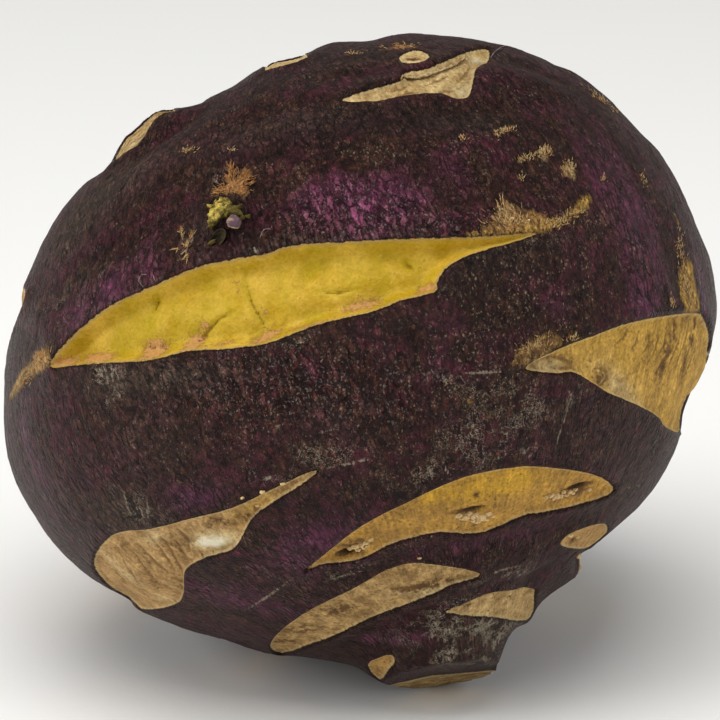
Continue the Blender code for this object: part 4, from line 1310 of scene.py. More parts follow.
def thicken(piece, thickness):
    """Give a sheet its thickness in millimetres, its faces turned outward."""
    apply_modifier(piece, "SOLIDIFY", thickness=thickness * MM, offset=0.0)
    bpy.ops.object.mode_set(mode="EDIT")
    bpy.ops.mesh.select_all(action="SELECT")
    bpy.ops.mesh.normals_make_consistent(inside=False)
    bpy.ops.object.mode_set(mode="OBJECT")


def finish_piece(piece, name, tone, *finish):
    """Name and smooth a small piece, give it its tone and finish, and let it ride with the body."""
    piece.name = piece.data.name = name
    if tone is not None:
        keep_field(piece, "tone", np.broadcast_to(tone, len(piece.data.vertices)))
    choose(piece)
    bpy.ops.object.shade_smooth()
    piece.data.materials.clear()
    piece.data.materials.append(small_material(*finish))
    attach(piece, BODY)


def add_sheet(rows, columns):
    """A flat grid, its places given as shares from 0 to 1 of its length and width."""
    bpy.ops.mesh.primitive_grid_add(x_subdivisions=rows, y_subdivisions=columns, size=2.0)
    sheet = bpy.context.object
    return sheet, (places_of(sheet)[:, :2] + 1) / 2


def srgb(text):
    """A hex colour as the linear colour that shaders take."""
    parts = [int(text[place:place + 2], 16) / 255 for place in (1, 3, 5)]
    return [part / 12.92 if part <= 0.04045 else ((part + 0.055) / 1.055) ** 2.4 for part in parts] + [1.0]


def per_mm(*sizes):
    """How often forms of these sizes, in millimetres, come in one millimetre."""
    return tuple(1 / size for size in sizes)


def add_node(tree, kind, inputs, out=0, **settings):
    """Add a node, set it, give its inputs values or links, and return one of its outputs.

    The inputs come by their names or numbers, or in a row from the first one on.
    """
    node = tree.nodes.new("ShaderNode" + kind)
    for name, value in settings.items():
        setattr(node, name, value)
    for name, value in (inputs if isinstance(inputs, dict) else dict(enumerate(inputs))).items():
        if isinstance(value, bpy.types.NodeSocket):
            tree.links.new(value, node.inputs[name])
        else:
            node.inputs[name].default_value = value
    return node.outputs[out] if node.outputs else None


def new_material(name):
    """An empty material, and the function that adds a node to it."""
    material = bpy.data.materials.new(name)
    material.use_nodes = True
    material.node_tree.nodes.clear()
    return material, partial(add_node, material.node_tree)


def finish_material(add, colour, roughness, height, specular=SHEEN):
    """End a material in its shader. The height is in millimetres."""
    normal = add("Bump", {"Height": height, "Distance": MM, "Strength": 1.0})
    shader = add("BsdfPrincipled", {
        "Base Color": colour, "Roughness": roughness, "Normal": normal, "Specular IOR Level": specular,
    })
    add("OutputMaterial", {"Surface": shader})


def skin_finish(add, place, growth, colours):
    """The dried skin: thin, leathery and half glossy, dark purple under a brown film.

    It is crumpled every 1.3 mm. Grains of half a millimetre cover it, some pale with a painted
    glint on their tops and others tan, in drifts. Cracks part it into fields of 1 x 2 mm,
    wrinkles run along its growth, and chalk lies on it in thin wisps. Blots of painted shade
    and painted light darken and lighten it.
    """
    purple, dust, specks = read_fields(add, "skin_tint")
    _, chalk, wrinkles = read_fields(add, "film")
    shade = add("Attribute", {}, out="Fac", attribute_name="shade")
    apart = add("VectorMath", (place, (70.0, 0.0, 30.0)), operation="ADD")
    slow, drift, fold = (
        add("TexNoise", {"Vector": vector, "Scale": 1 / size, "Detail": detail, "Roughness": roughness})
        for vector, size, detail, roughness in (
            (place, 5.0, 3.0, 0.6), (apart, 3.2, 4.0, 0.7), (place, 1.3, 4.0, 0.75))
    )
    crumple = fold.node.outputs["Color"]
    along = []
    for bend, sizes in ((1.5, GRAIN_SIZES), (0.8, CRACK_SIZES), (1.5, GROOVE_SIZES)):
        bent = add("VectorMath", (crumple, (bend,) * 3, growth), operation="MULTIPLY_ADD")
        along.append(add("VectorMath", (bent, per_mm(*sizes)), operation="MULTIPLY"))
    grain = add("TexVoronoi", {"Vector": along[0], "Scale": 1.0}, feature="F1")
    chance = add("SeparateXYZ", (grain.node.outputs["Color"],)).node.outputs
    top = add("MapRange", (grain, 0.15, 0.4, 1.0, 0.0))
    crack = add("TexVoronoi", {"Vector": along[1], "Scale": 1.0}, feature="DISTANCE_TO_EDGE")
    crack = add("MapRange", (crack, 0.02, 0.12, 1.0, 0.0))
    groove = add("TexNoise", {"Vector": along[2], "Scale": 1.0, "Detail": 2.0, "Roughness": 0.6})
    halfway = []
    for pattern in (groove, fold):
        away = add("Math", (pattern, 0.5), operation="SUBTRACT")
        halfway.append(add("Math", (away,), operation="ABSOLUTE"))
    groove = add("MapRange", (halfway[0], 0.01, 0.08, 1.0, 0.0))
    groove = add("Math", (groove, wrinkles), operation="MULTIPLY", use_clamp=True)
    covered = []
    for field, least, gain in ((purple, 0.14, 2.8), (dust, 0.1, 2.4)):
        share = add("Math", (field, slow, -least), operation="MULTIPLY_ADD")
        covered.append(add("Math", (share, gain), operation="MULTIPLY", use_clamp=True))
    shown, dusty = covered
    brown = add("MapRange", (drift, 0.38, 0.64, 0.0, 0.9))
    plum = add("MapRange", (slow, 0.46, 0.6, 0.0, 0.8))
    base = colours["dark"]
    for share, name in ((brown, "brown"), (plum, "plum"), (dusty, "dust"), (shown, "purple")):
        base = add("Mix", {0: share, 6: base, 7: colours[name]}, out=2, data_type="RGBA")
    # Painted shade darkens the skin and painted light lightens it, and the skin is lighter where it is
    # more wrinkled
    by_shade = add("MapRange", (shade, -1.0, 1.0, 1.78, 0.22))
    by_shade = add("Math", (wrinkles, 0.45, by_shade), operation="MULTIPLY_ADD")
    least = add("Math", (shown, 0.35, 0.38), operation="MULTIPLY_ADD")
    by_fold = add("MapRange", (fold, 0.36, 0.64, least, 1.65))
    spread = add("Math", (shown, -0.8, 1.0), operation="MULTIPLY_ADD")
    by_grain = add("Math", (chance[0], 0.5), operation="SUBTRACT")
    by_grain = add("Math", (by_grain, spread, 1.0), operation="MULTIPLY_ADD")
    for tone in (by_shade, by_fold, by_grain):
        base = add("VectorMath", {0: base, "Scale": tone}, operation="SCALE")
    parted = add("Math", (shown, 0.35, 0.6), operation="MULTIPLY_ADD")
    open_here = add("MapRange", (drift, 0.4, 0.58, 0.25, 1.0))
    parted = add("Math", (parted, open_here), operation="MULTIPLY")
    crack = add("Math", (crack, parted), operation="MULTIPLY")
    dark = add("Math", (groove, 0.8), operation="MULTIPLY")
    dark = add("Math", (dark, crack), operation="MAXIMUM")
    # Painted glints: pale highlights on the tops of the grains, more where the skin is wrinkled and
    # purple, fewer in painted shade
    paler = drift
    for field, weight in ((wrinkles, 0.36), (chance[1], 0.5), (shade, -0.3), (shown, 0.13)):
        paler = add("Math", (field, weight, paler), operation="MULTIPLY_ADD")
    glint = add("MapRange", (paler, 0.88, 1.28, 0.0, 0.65))
    glint = add("Math", (glint, top), operation="MULTIPLY")
    speck = chance[2]
    for field, weight in ((specks, 0.55), (shown, -0.35), (drift, 1.6), (fold, 1.2)):
        speck = add("Math", (field, weight, speck), operation="MULTIPLY_ADD")
    speck = add("MapRange", (speck, 2.46, 3.0, 0.0, 1.0))
    speck = add("Math", (speck, top), operation="MULTIPLY")
    width = add("Math", (chalk, 0.034, 0.0001), operation="MULTIPLY_ADD")
    chalky = add("MapRange", (halfway[1], 0.0, width, 1.0, 0.0))
    found = add("MapRange", (drift, 0.45, 0.56, 0.0, 1.0))
    chalky = add("Math", (chalky, found), operation="MULTIPLY")
    for share, name in ((dark, "crack"), (glint, "glint"), (speck, "speck"), (chalky, "chalk")):
        base = add("Mix", {0: share, 6: base, 7: colours[name]}, out=2, data_type="RGBA")
    height = fold
    for field, weight in ((groove, -0.5), (crack, -0.6)):
        height = add("Math", (field, weight, height), operation="MULTIPLY_ADD")
    rough = add("MapRange", (dusty, 0.0, 1.0, 0.42, 0.62))
    rough = add("Math", (shown, -0.06, rough), operation="MULTIPLY_ADD")
    return base, rough, height


def cork_finish(add, place, growth, colours):
    """The cork of a leaf scar: dull, dry and granular, tan to ochre, with fibres across it.

    Its grains are half a millimetre wide, its fibres 0.5 x 3 mm and its mottles 1.5 mm.
    """
    pale, brown, yellow = read_fields(add, "cork_tint")
    line, _, peach = read_fields(add, "marks")
    along = add("VectorMath", (growth, per_mm(*CORK_FIBRE_SIZES)), operation="MULTIPLY")
    slow, grain, mottle, fibre = (
        add("TexNoise", {"Vector": vector, "Scale": 1 / size, "Detail": detail, "Roughness": roughness})
        for vector, size, detail, roughness in (
            (place, 2.6, 3.0, 0.6), (place, 0.45, 3.0, 0.7), (place, 1.5, 4.0, 0.7),
            (along, 1.0, 2.0, 0.6),
        )
    )
    mottle = add("MapRange", (mottle, 0.4, 0.6, 0.0, 1.0))
    base = colours["tan"]
    for name, share, pattern in (
        ("ochre", yellow, slow), ("pale", pale, slow), ("bark", brown, mottle), ("peach", peach, grain),
    ):
        share = add("Math", (share, pattern), operation="MULTIPLY")
        share = add("Math", (share, 1.9), operation="MULTIPLY", use_clamp=True)
        base = add("Mix", {0: share, 6: base, 7: colours[name]}, out=2, data_type="RGBA")
    for ranged in (
        (grain, 0.3, 0.7, 0.62, 1.36), (fibre, 0.35, 0.65, 0.84, 1.12), (slow, 0.35, 0.65, 0.82, 1.16),
    ):
        base = add("VectorMath", {0: base, "Scale": add("MapRange", ranged)}, operation="SCALE")
    waxy = add("Math", (pale, slow, -0.5), operation="MULTIPLY_ADD")
    # Brown past 1 and the painted shade of the pits turn to the pit colour
    pitted = add("Math", (brown, grain, -0.5), operation="MULTIPLY_ADD")
    drawn = add("Math", (grain, 0.5, line), operation="MULTIPLY_ADD")
    for name, ranged in (
        ("white", (waxy, 0.0, 0.4, 0.0, 0.85)),
        ("pit", (pitted, 0.0, 0.4, 0.0, 0.85)),
        ("pit", (grain, 0.3, 0.36, 0.6, 0.0)),
        ("bark", (drawn, 0.32, 0.62, 0.8, 0.0)),
    ):
        share = add("MapRange", ranged)
        base = add("Mix", {0: share, 6: base, 7: colours[name]}, out=2, data_type="RGBA")
    height = add("Math", (grain, 0.22), operation="MULTIPLY")
    height = add("Math", (fibre, 0.12, height), operation="MULTIPLY_ADD")
    return base, 0.8, height


def flesh_finish(add, place, edge, colours):
    """The dried flesh: smooth, firm and a little waxy, yellow, browner in its creases."""
    crease, _, peach = read_fields(add, "marks")
    # How sunk the flesh is, for painted shade, greener, in its hollows; the flesh's own greener patches
    # join it below
    hollow = read_fields(add, "cork_tint")[1]
    apart = add("VectorMath", (place, (40.0, 0.0, 20.0)), operation="ADD")
    slow, green, torn = (
        add("TexNoise", {"Vector": vector, "Scale": 1 / size, "Detail": detail, "Roughness": roughness})
        for vector, size, detail, roughness in (
            (place, 3.0, 3.0, 0.55), (apart, 4.2, 2.0, 0.6), (apart, 0.5, 3.0, 0.7))
    )
    green = add("MapRange", (green, 0.5, 0.68, 0.0, 0.4))
    hollow = add("Math", (hollow, 0.7, green), operation="MULTIPLY_ADD", use_clamp=True)
    bent = add("Math", (torn, 0.5, crease), operation="MULTIPLY_ADD")
    line = add("MapRange", (bent, 0.26, 0.42, 0.7, 0.0))
    crumbs = add("Math", (torn, 3.0, peach), operation="MULTIPLY_ADD")
    crumbs = add("MapRange", (crumbs, 1.95, 2.2, 0.0, 0.85))
    rim = add("Math", (torn, 0.5, edge), operation="MULTIPLY_ADD")
    base = colours["yellow"]
    for share, name in (
        (add("MapRange", (slow, 0.38, 0.62, 0.0, 1.0)), "light"),
        (hollow, "green"),
        # Painted shade, greener, along the creases
        (add("MapRange", (crease, 0.0, 1.0, 0.6, 0.0)), "green"),
        (line, "orange"),
        (crumbs, "peach"),
        (add("MapRange", (rim, -0.05, 0.1, 0.0, 0.8)), "rim"),
    ):
        base = add("Mix", {0: share, 6: base, 7: colours[name]}, out=2, data_type="RGBA")
    tone = add("MapRange", (torn, 0.3, 0.7, 0.8, 1.16))
    base = add("VectorMath", {0: base, "Scale": tone}, operation="SCALE")
    height = add("Math", (torn, 0.12), operation="MULTIPLY")
    for field, weight in ((slow, 0.45), (crumbs, 0.12), (line, -0.15)):
        height = add("Math", (field, weight, height), operation="MULTIPLY_ADD")
    return base, 0.5, height


def read_fields(add, name):
    """The three numbers that a vector field keeps for each vertex."""
    field = add("Attribute", {}, out="Vector", attribute_name=name)
    return list(add("SeparateXYZ", (field,)).node.outputs)


def pattern_places(add):
    """Where each point is in millimetres, and where along and round the growth it is."""
    place = add("TexCoord", {}, out="Object")
    place = add("VectorMath", {0: place, "Scale": 1 / MM}, operation="SCALE")
    return place, add("Attribute", {}, out="Vector", attribute_name="growth")


def skin_material(colours):
    material, add = new_material("dried_kohlrabi_skin")
    finish_material(add, *skin_finish(add, *pattern_places(add), colours))
    return material


def cork_material(colours):
    material, add = new_material("leaf_scar_cork")
    finish_material(add, *cork_finish(add, *pattern_places(add), colours))
    return material


def flesh_material(colours):
    material, add = new_material("dried_kohlrabi_flesh")
    edge = read_fields(add, "edges")[0]
    finish_material(add, *flesh_finish(add, pattern_places(add)[0], edge, colours))
    return material


def edge_material(colours):
    """Where skin, cork and flesh meet, parted at the ragged edges of the scars."""
    material, add = new_material("skin_edges_of_scars")
    place, growth = pattern_places(add)
    gash, scar, patch = read_fields(add, "edges")
    scratch = read_fields(add, "marks")[1]
    comb = read_fields(add, "film")[0]
    spiky = add("VectorMath", (growth, per_mm(*TEAR_SIZES)), operation="MULTIPLY")
    along = add("VectorMath", (growth, per_mm(*TOOTH_SIZES)), operation="MULTIPLY")
    ragged, torn, tooth = (
        add("TexNoise", {"Vector": vector, "Scale": 1 / size, "Detail": detail, "Roughness": roughness})
        for vector, size, detail, roughness in (
            (place, 0.7, 3.0, 0.7), (spiky, 1.0, 4.0, 0.8), (along, 1.0, 1.0, 0.5))
    )
    ragged, torn = (add("Math", (pattern, 0.5), operation="SUBTRACT") for pattern in (ragged, torn))
    gash, scar, patch, scratched = (
        add("Math", (pattern, weight, edge), operation="MULTIPLY_ADD")
        for pattern, weight, edge in (
            (ragged, 0.4, gash), (ragged, 0.3, scar), (torn, 3.8, patch), (torn, 0.9, scratch))
    )
    edge = add("Math", (gash, scar), operation="MINIMUM")
    scratched, in_gash, in_scar, in_patch, whole, shade, near, tooth, rim = (
        add("MapRange", ranged) for ranged in (
            (scratched, 0.1, 0.22, 0.55, 0.0),
            (gash, -0.04, 0.04, 1.0, 0.0),
            (scar, -0.04, 0.04, 1.0, 0.0),
            (patch, -0.15, 0.15, 0.95, 0.0),
            (torn, -0.09, 0.0, 0.35, 1.0),
            (edge, 0.03, 0.3, 1.0, 0.0),
            (gash, 0.5, 1.7, 1.0, 0.0),
            (tooth, 0.42, 0.62, -0.45, 0.5),
            (scar, -0.35, -0.15, 0.0, 0.65),
        )
    )
    in_patch = add("Math", (in_patch, whole), operation="MULTIPLY")
    in_cork = add("Math", (in_scar, in_patch), operation="MAXIMUM")
    # A painted shadow line darkens the skin along the edges of the scars, in the crack colour; it is
    # thinner where the comb stands
    thin = add("Math", (comb, -0.4, 0.8), operation="MULTIPLY_ADD")
    shade = add("Math", (shade, thin), operation="MULTIPLY")
    # The comb's ridges are painted lighter on their tops and darker between them, as painted light and
    # shade
    comb = add("Math", (comb, near), operation="MULTIPLY")
    tooth = add("Math", (tooth, comb), operation="MULTIPLY")
    lit = add("Math", (tooth, 1.0), operation="ADD")
    skin = skin_finish(add, place, growth, colours)
    cork = cork_finish(add, place, growth, colours)
    flesh = flesh_finish(add, place, gash, colours)
    rim = add("Math", (rim, in_scar), operation="MULTIPLY")
    paler = add("MapRange", (cork[2], 0.12, 0.22, 0.2, 1.0))
    rim = add("Math", (rim, paler), operation="MULTIPLY")
    rimmed = add("Mix", {0: rim, 6: cork[0], 7: colours["pale"]}, out=2, data_type="RGBA")
    colour = add("VectorMath", {0: skin[0], "Scale": lit}, operation="SCALE")
    # Painted glints on the tops of the comb's ridges
    pale = add("Math", (tooth, 0.7), operation="MULTIPLY", use_clamp=True)
    for share, over in (
        (pale, colours["glint"]), (scratched, colours["chalk"]), (shade, colours["crack"]),
        (in_cork, rimmed), (in_gash, flesh[0]),
    ):
        colour = add("Mix", {0: share, 6: colour, 7: over}, out=2, data_type="RGBA")
    roughness = skin[1]
    height = add("Math", (tooth, 0.3, skin[2]), operation="MULTIPLY_ADD")
    for share, finish in ((in_cork, cork), (in_gash, flesh)):
        roughness = add("Mix", {0: share, 2: roughness, 3: finish[1]})
        height = add("Mix", {0: share, 2: height, 3: finish[2]})
    finish_material(add, colour, roughness, height)
    return material


def small_material(name, first, second, size, roughness, relief):
    """A dull, dry plant crumb: two colours that come and go at a size in millimetres."""
    material, add = new_material(name)
    place = pattern_places(add)[0]
    pattern = add("TexNoise", {"Vector": place, "Scale": 1 / size, "Detail": 4.0, "Roughness": 0.7})
    share = add("MapRange", (pattern, 0.38, 0.6, 0.0, 1.0))
    tone = add("Attribute", {}, out="Fac", attribute_name="tone")
    share = add("Math", (share, tone), operation="ADD", use_clamp=True)
    colour = add("Mix", {0: share, 6: first, 7: second}, out=2, data_type="RGBA")
    height = add("Math", (pattern, relief), operation="MULTIPLY")
    finish_material(add, colour, roughness, height)
    return material


def assign_materials(body, fields, colours):
    """Give each face the finish that covers it, and the mixed one near an edge."""
    for material in (skin_material, cork_material, flesh_material, edge_material):
        body.data.materials.append(material(colours))
    skin, cork, flesh, mixed = range(4)
    starts = np.empty(len(body.data.polygons), np.int32)
    body.data.polygons.foreach_get("loop_start", starts)
    corners = np.empty(len(body.data.loops), np.int32)
    body.data.loops.foreach_get("vertex_index", corners)

    def highest(values):
        return np.maximum.reduceat(values[corners], starts)

    scars = np.minimum(fields.scar, fields.cut)
    index = np.full(len(starts), mixed)
    index[highest(fields.gash) < -EDGE_BAND] = flesh
    index[highest(scars) < -EDGE_BAND] = cork
    away = np.minimum(scars, fields.scratch) - EDGE_BAND
    away = np.minimum(away, np.minimum(fields.gash - COMB_BAND, fields.patch - PATCH_BAND))
    index[highest(-away) < 0] = skin
    body.data.polygons.foreach_set("material_index", index.astype(np.int32))


class KohlrabiShape(bpy.types.PropertyGroup):
    """Sizes of the mesh and of its fine relief"""
    cells: IntProperty(
        name="Squares", description="Squares along each edge of the starting cube",
        default=84, min=20, max=100)
    wrinkle_depth: FloatProperty(
        name="Wrinkle depth", description="Depth of the skin's wrinkles in millimetres", default=0.38)
    flesh_bulge: FloatProperty(
        name="Flesh bulge", description="How far the flesh stands up, in millimetres", default=0.5)
    cork_relief: FloatProperty(
        name="Cork relief", description="Height of the scars' fibres in millimetres", default=0.12)


def colour_property(name, text, description):
    return FloatVectorProperty(
        name=name, description=description, subtype="COLOR", size=4, min=0.0, max=1.0, default=srgb(text))


class KohlrabiColours(bpy.types.PropertyGroup):
    """Colours of the skin, the cork and the flesh"""
    dark: colour_property("Dark skin", "#29100d", "The darkest of the skin")
    brown: colour_property("Brown skin", "#42291e", "The skin where it is neither dark nor purple")
    plum: colour_property("Plum skin", "#3f1822", "Dull purple that comes and goes all over the skin")
    purple: colour_property("Purple skin", "#56293e", "Where the purple shows through")
    dust: colour_property("Dusty skin", "#42332a", "Where a dull film lies on the skin")
    # The crack colour also paints the shadow line along the edges of the scars, as painted shade
    crack: colour_property("Cracks", "#0a0404", "Wrinkles and cracks of the skin")
    # Glints are painted highlights on the skin's grains and on the comb's ridges; the hairs take this pale
    # grey as their own colour
    glint: colour_property("Glints", "#8f8079", "The worn tops of the skin's cells")
    speck: colour_property("Specks", "#8c7860", "Tan specks on the skin")
    chalk: colour_property("Chalk", "#b0a48c", "The chalky film on the skin and the chalk in the cork")
    tan: colour_property("Tan cork", "#a07849", "The scars' usual cork")
    ochre: colour_property("Ochre cork", "#bb9032", "The scars' yellow cork")
    pale: colour_property("Pale cork", "#c0aa7c", "The scars' pale cork and their rims")
    bark: colour_property("Brown cork", "#664a2a", "The scars' brown cork")
    white: colour_property("White cork", "#e0d8c0", "The white wax on the cork")
    # The pit colour is also painted shade in the pits of the cork
    pit: colour_property("Pits", "#38281a", "Pits and dots in the cork")
    peach: colour_property("Crumbs", "#b58350", "Dried crumbs and the orange cork")
    yellow: colour_property("Yellow flesh", "#b18e1b", "The flesh in the split")
    light: colour_property("Light flesh", "#c8a43a", "The lighter flesh in the split")
    # Green flesh is also painted shade in the flesh's hollows and along its creases
    green: colour_property("Green flesh", "#a8900f", "The greener flesh and the hollows in it")
    orange: colour_property("Orange flesh", "#8a6218", "The creases of the flesh")
    rim: colour_property("Flesh rim", "#a98a52", "The dried rim of the flesh")
    # Bud green is also painted shade in the hollows of the bud's leaves, and bud yellow painted light on
    # their tops
    bud_green: colour_property("Bud green", "#54491f", "The hollows of the bud's leaves")
    bud_yellow: colour_property("Bud yellow", "#c0a850", "The tops of the bud's leaves")
    bud_mauve: colour_property("Bud mauve", "#5c4550", "The round knob of the bud")
    bud_dark: colour_property("Bud dark", "#211c12", "The inside of the bud's hollow scale")
    bud_olive: colour_property("Bud olive", "#4a3c20", "The tip of the bud's hollow scale")
    crumb: colour_property("Pit crumbs", "#d2b684", "The pale crumbs in the scars' pits")
    orange_cork: colour_property("Orange fibres", "#875f38", "The roots of the orange fibres")


class KohlrabiStudio(bpy.types.PropertyGroup):
    """The light and the floor"""
    key_power: FloatProperty(name="Key light", description="Power of the key light in watts", default=9.5)
    fill_power: FloatProperty(name="Fill light", description="Power of the left light", default=5.0)
    world: FloatProperty(name="World", description="Strength of the light from all round", default=0.26)


def colours_of(scene):
    group = scene.kohlrabi_colours
    return {name: list(getattr(group, name)) for name in KohlrabiColours.__annotations__}


class KOHLRABI_OT_add_body(bpy.types.Operator):
    """Model the swollen stem with its skin, scars, split and cut stub as one mesh"""
    bl_idname = "kohlrabi.add_body"
    bl_label = "Add Body"

    def execute(self, context):
        shape = context.scene.kohlrabi_shape
        body = even_ball(shape.cells)
        split_where(body, lambda middles: (middles[:, 2] > FACING) | (edge_distance(middles) < EDGE_REACH))
        split_where(body, lambda middles: (
            (np.abs(SCARS[0].distance(middles)) < GASH_REACH) | (line_distance(middles) < LINE_REACH)))
        split_where(body, lambda middles: pit_distance(middles) < PIT_REACH)
        directions = places_of(body)
        fields = SurfaceFields(directions)
        radius = surface_radius(directions) + fine_relief(directions, fields, shape)
        set_places(body, inside_box(to_table(directions * radius[:, None])))
        keep_field(body, "growth", fields.growth)
        keep_field(body, "shade", fields.shade)
        for name, columns in (
            ("edges", (fields.gash, np.minimum(fields.scar, fields.cut), fields.patch)),
            ("skin_tint", (fields.purple, fields.dust, fields.specks)),
            ("cork_tint", (fields.pale, fields.brown, fields.yellow)),
            ("marks", (fields.crease, fields.scratch, fields.peach)),
            ("film", (fields.comb, fields.chalk, fields.wrinkles)),
        ):
            keep_field(body, name, np.column_stack(columns))
        body.name = body.data.name = "kohlrabi_body"
        bpy.ops.object.shade_smooth()
        assign_materials(body, fields, colours_of(context.scene))
        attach(body, BODY)
        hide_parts(NODE)
        return {"FINISHED"}


class KOHLRABI_OT_add_bud(bpy.types.Operator):
    """Model the dried side bud above the split: crumbly leaves, a round knob and a hollow scale"""
    bl_idname = "kohlrabi.add_bud"
    bl_label = "Add Bud"

    def execute(self, context):
        colours = colours_of(context.scene)
        leaves = join([add_lump(*lump, seed, LEAF_CRUMBLE, 4) for seed, lump in enumerate(BUD_LEAVES, 1)])
        apply_modifier(leaves, "REMESH", mode="VOXEL", voxel_size=LEAF_VOXEL * MM)
        # The leaves are yellow where they stand out and dark green where they lie low: painted light on
        # their tops and painted shade in their hollows, over their own green and yellow
        start, frame = (part[0] for part in perches([BUD_LEAVES[0][0]]))
        height = (places_of(leaves) / MM - start) @ frame[2]
        finish_piece(leaves, "bud_leaves", 0.9 * height - 0.45,
                     "dried_bud_leaf", colours["bud_green"], colours["bud_yellow"], 0.5, 0.7, 0.12)
        knob = add_lump(*BUD_KNOB, KNOB_SEED, KNOB_CRUMBLE, 4)
        low = (perches([BUD_KNOB[0]])[0][0] - places_of(knob) / MM)[:, 2]
        finish_piece(knob, "bud_knob", smooth_step(low, 0.3, 0.7) - 0.6,
                     "dried_bud_knob", colours["bud_mauve"], colours["pale"], 0.6, 0.5, 0.08)
        place, sizes, degrees = BUD_SCALE
        scale, shares = add_sheet(26, 18)
        flat = 2 * shares - 1
        disc = flat * np.sqrt(1 - flat[:, ::-1] ** 2 / 2)
        rough = soft_noise(np.column_stack([disc, disc[:, 0]]), 0.4)
        bowl = 1.3 * (disc ** 2).sum(axis=1) + 0.15 * rough
        stand(scale, np.column_stack([disc, bowl]) * np.array(sizes), place, degrees)
        thicken(scale, BUD_SCALE_THICKNESS)
        along = (places_of(scale) / MM - perches([place])[0][0])[:, 0]
        finish_piece(scale, "bud_scale", 0.5 * along - 0.2,
                     "dried_bud_scale", colours["bud_dark"], colours["bud_olive"], 0.8, 0.55, 0.05)
        return {"FINISHED"}


class KOHLRABI_OT_add_flap(bpy.types.Operator):
    """Model the strip of dried skin that has peeled back along the top scar"""
    bl_idname = "kohlrabi.add_flap"
    bl_label = "Add Peeled Skin"

    def execute(self, context):
        colours = colours_of(context.scene)
        flap, shares = add_sheet(70, 8)
        path = smooth_path(FLAP, False, 10)
        steps = np.linspace(0, 1, len(path))
        along, across = shares.T
        x, y = (np.interp(along, steps, line) for line in path.T)
        width = FLAP_REACH * np.sin(np.pi * np.clip(0.06 + 0.9 * along, 0, 1)) ** 0.6
        wave = soft_noise(np.outer(along, (FLAP_WAVES, 0, 0)), 1.0)
        down = across * width * (1 + 0.25 * wave)
        roots = on_body(list(zip(x, y)))
        directions = on_body(list(zip(x + FLAP_SLANT * down, y + down)))
        radius = surface_radius(roots) + FLAP_LIFT * across ** 1.5 * (1 + 0.5 * wave)
        set_places(flap, inside_box(to_table(directions * radius[:, None])))
        thicken(flap, FLAP_THICKNESS)
        finish_piece(flap, "peeled_skin", 0.0,
                     "peeled_dry_skin", colours["bark"], colours["pale"], 0.5, 0.75, 0.06)
        return {"FINISHED"}


class KOHLRABI_OT_add_crumbs(bpy.types.Operator):
    """Model the pale crumbs in the pits of the scars"""
    bl_idname = "kohlrabi.add_crumbs"
    bl_label = "Add Crumbs"

    def execute(self, context):
        colours = colours_of(context.scene)
        crumbs = join([
            add_lump(place, (1.3 * size, 0.8 * size, size), CRUMB_TURN, seed, CRUMB_CRUMBLE, 3)
            for seed, (place, size) in enumerate(CRUMBS, CRUMB_SEED)
        ])
        finish_piece(crumbs, "cork_crumbs", 0.2,
                     "cork_crumbs", colours["tan"], colours["crumb"], 0.3, 0.8, 0.05)
        return {"FINISHED"}


class KOHLRABI_OT_add_fibres(bpy.types.Operator):
    """Model the tufts of torn cork fibres, from one fibre that is copied"""
    bl_idname = "kohlrabi.add_fibres"
    bl_label = "Add Fibres"

    def execute(self, context):
        colours = colours_of(context.scene)
        draw = np.random.default_rng(FIBRE_SEED)
        bpy.ops.mesh.primitive_cone_add(vertices=5, radius1=FIBRE_ROOT, radius2=FIBRE_TIP, depth=1.0)
        model = bpy.context.object
        shape = places_of(model) + np.array([0.0, 0.0, 0.5])
        for name, are_orange, first, second in (
            ("tan_fibres", False, "tan", "pale"), ("orange_fibres", True, "orange_cork", "peach"),
        ):
            fibres = []
            for middle, along, across, turned, count, away_from, length, orange in TUFTS:
                count = round(count * (orange if are_orange else 1 - orange))
                if count == 0:
                    continue
                spread = np.column_stack([draw.normal(0, FIBRE_SPREAD, (count, 2)), np.zeros(count)])
                spread = turned_flat(spread * np.array([along, across, 1.0]), turned)[:, :2]
                places = np.array(middle) + spread * np.array([1.0, -1.0])
                starts, frames = perches([tuple(place) for place in places])
                heading = np.degrees(np.arctan2(away_from[1] - places[:, 1], places[:, 0] - away_from[0]))
                heading += draw.normal(0, FIBRE_STRAY, count)
                lift = np.radians(draw.uniform(*FIBRE_LIFT, count))
                for start, frame, degrees, rise in zip(starts, frames, heading, lift):
                    fibre = model.copy()
                    fibre.data = model.data.copy()
                    context.collection.objects.link(fibre)
                    thick = FIBRE_THICKNESS * draw.uniform(*FIBRE_THICKNESSES)
                    reach = length * draw.uniform(*FIBRE_LENGTHS)
                    out = shape[:, 2] * reach
                    curl = draw.uniform(*FIBRE_CURLS) * shape[:, 2] ** 2 * reach
                    points = np.column_stack([
                        out * math.cos(rise) - shape[:, 0] * thick * math.sin(rise),
                        shape[:, 1] * thick + curl,
                        out * math.sin(rise) + shape[:, 0] * thick * math.cos(rise),
                    ])
                    set_places(fibre, inside_box(start + turned_flat(points, degrees) @ frame))
                    keep_field(fibre, "tone", np.full(len(shape), draw.uniform(*FIBRE_TONES)))
                    fibres.append(fibre)
            finish_piece(join(fibres), name, None,
                         "dry_" + name, colours[first], colours[second], 0.4, 0.8, 0.02)
        bpy.data.objects.remove(model)
        return {"FINISHED"}


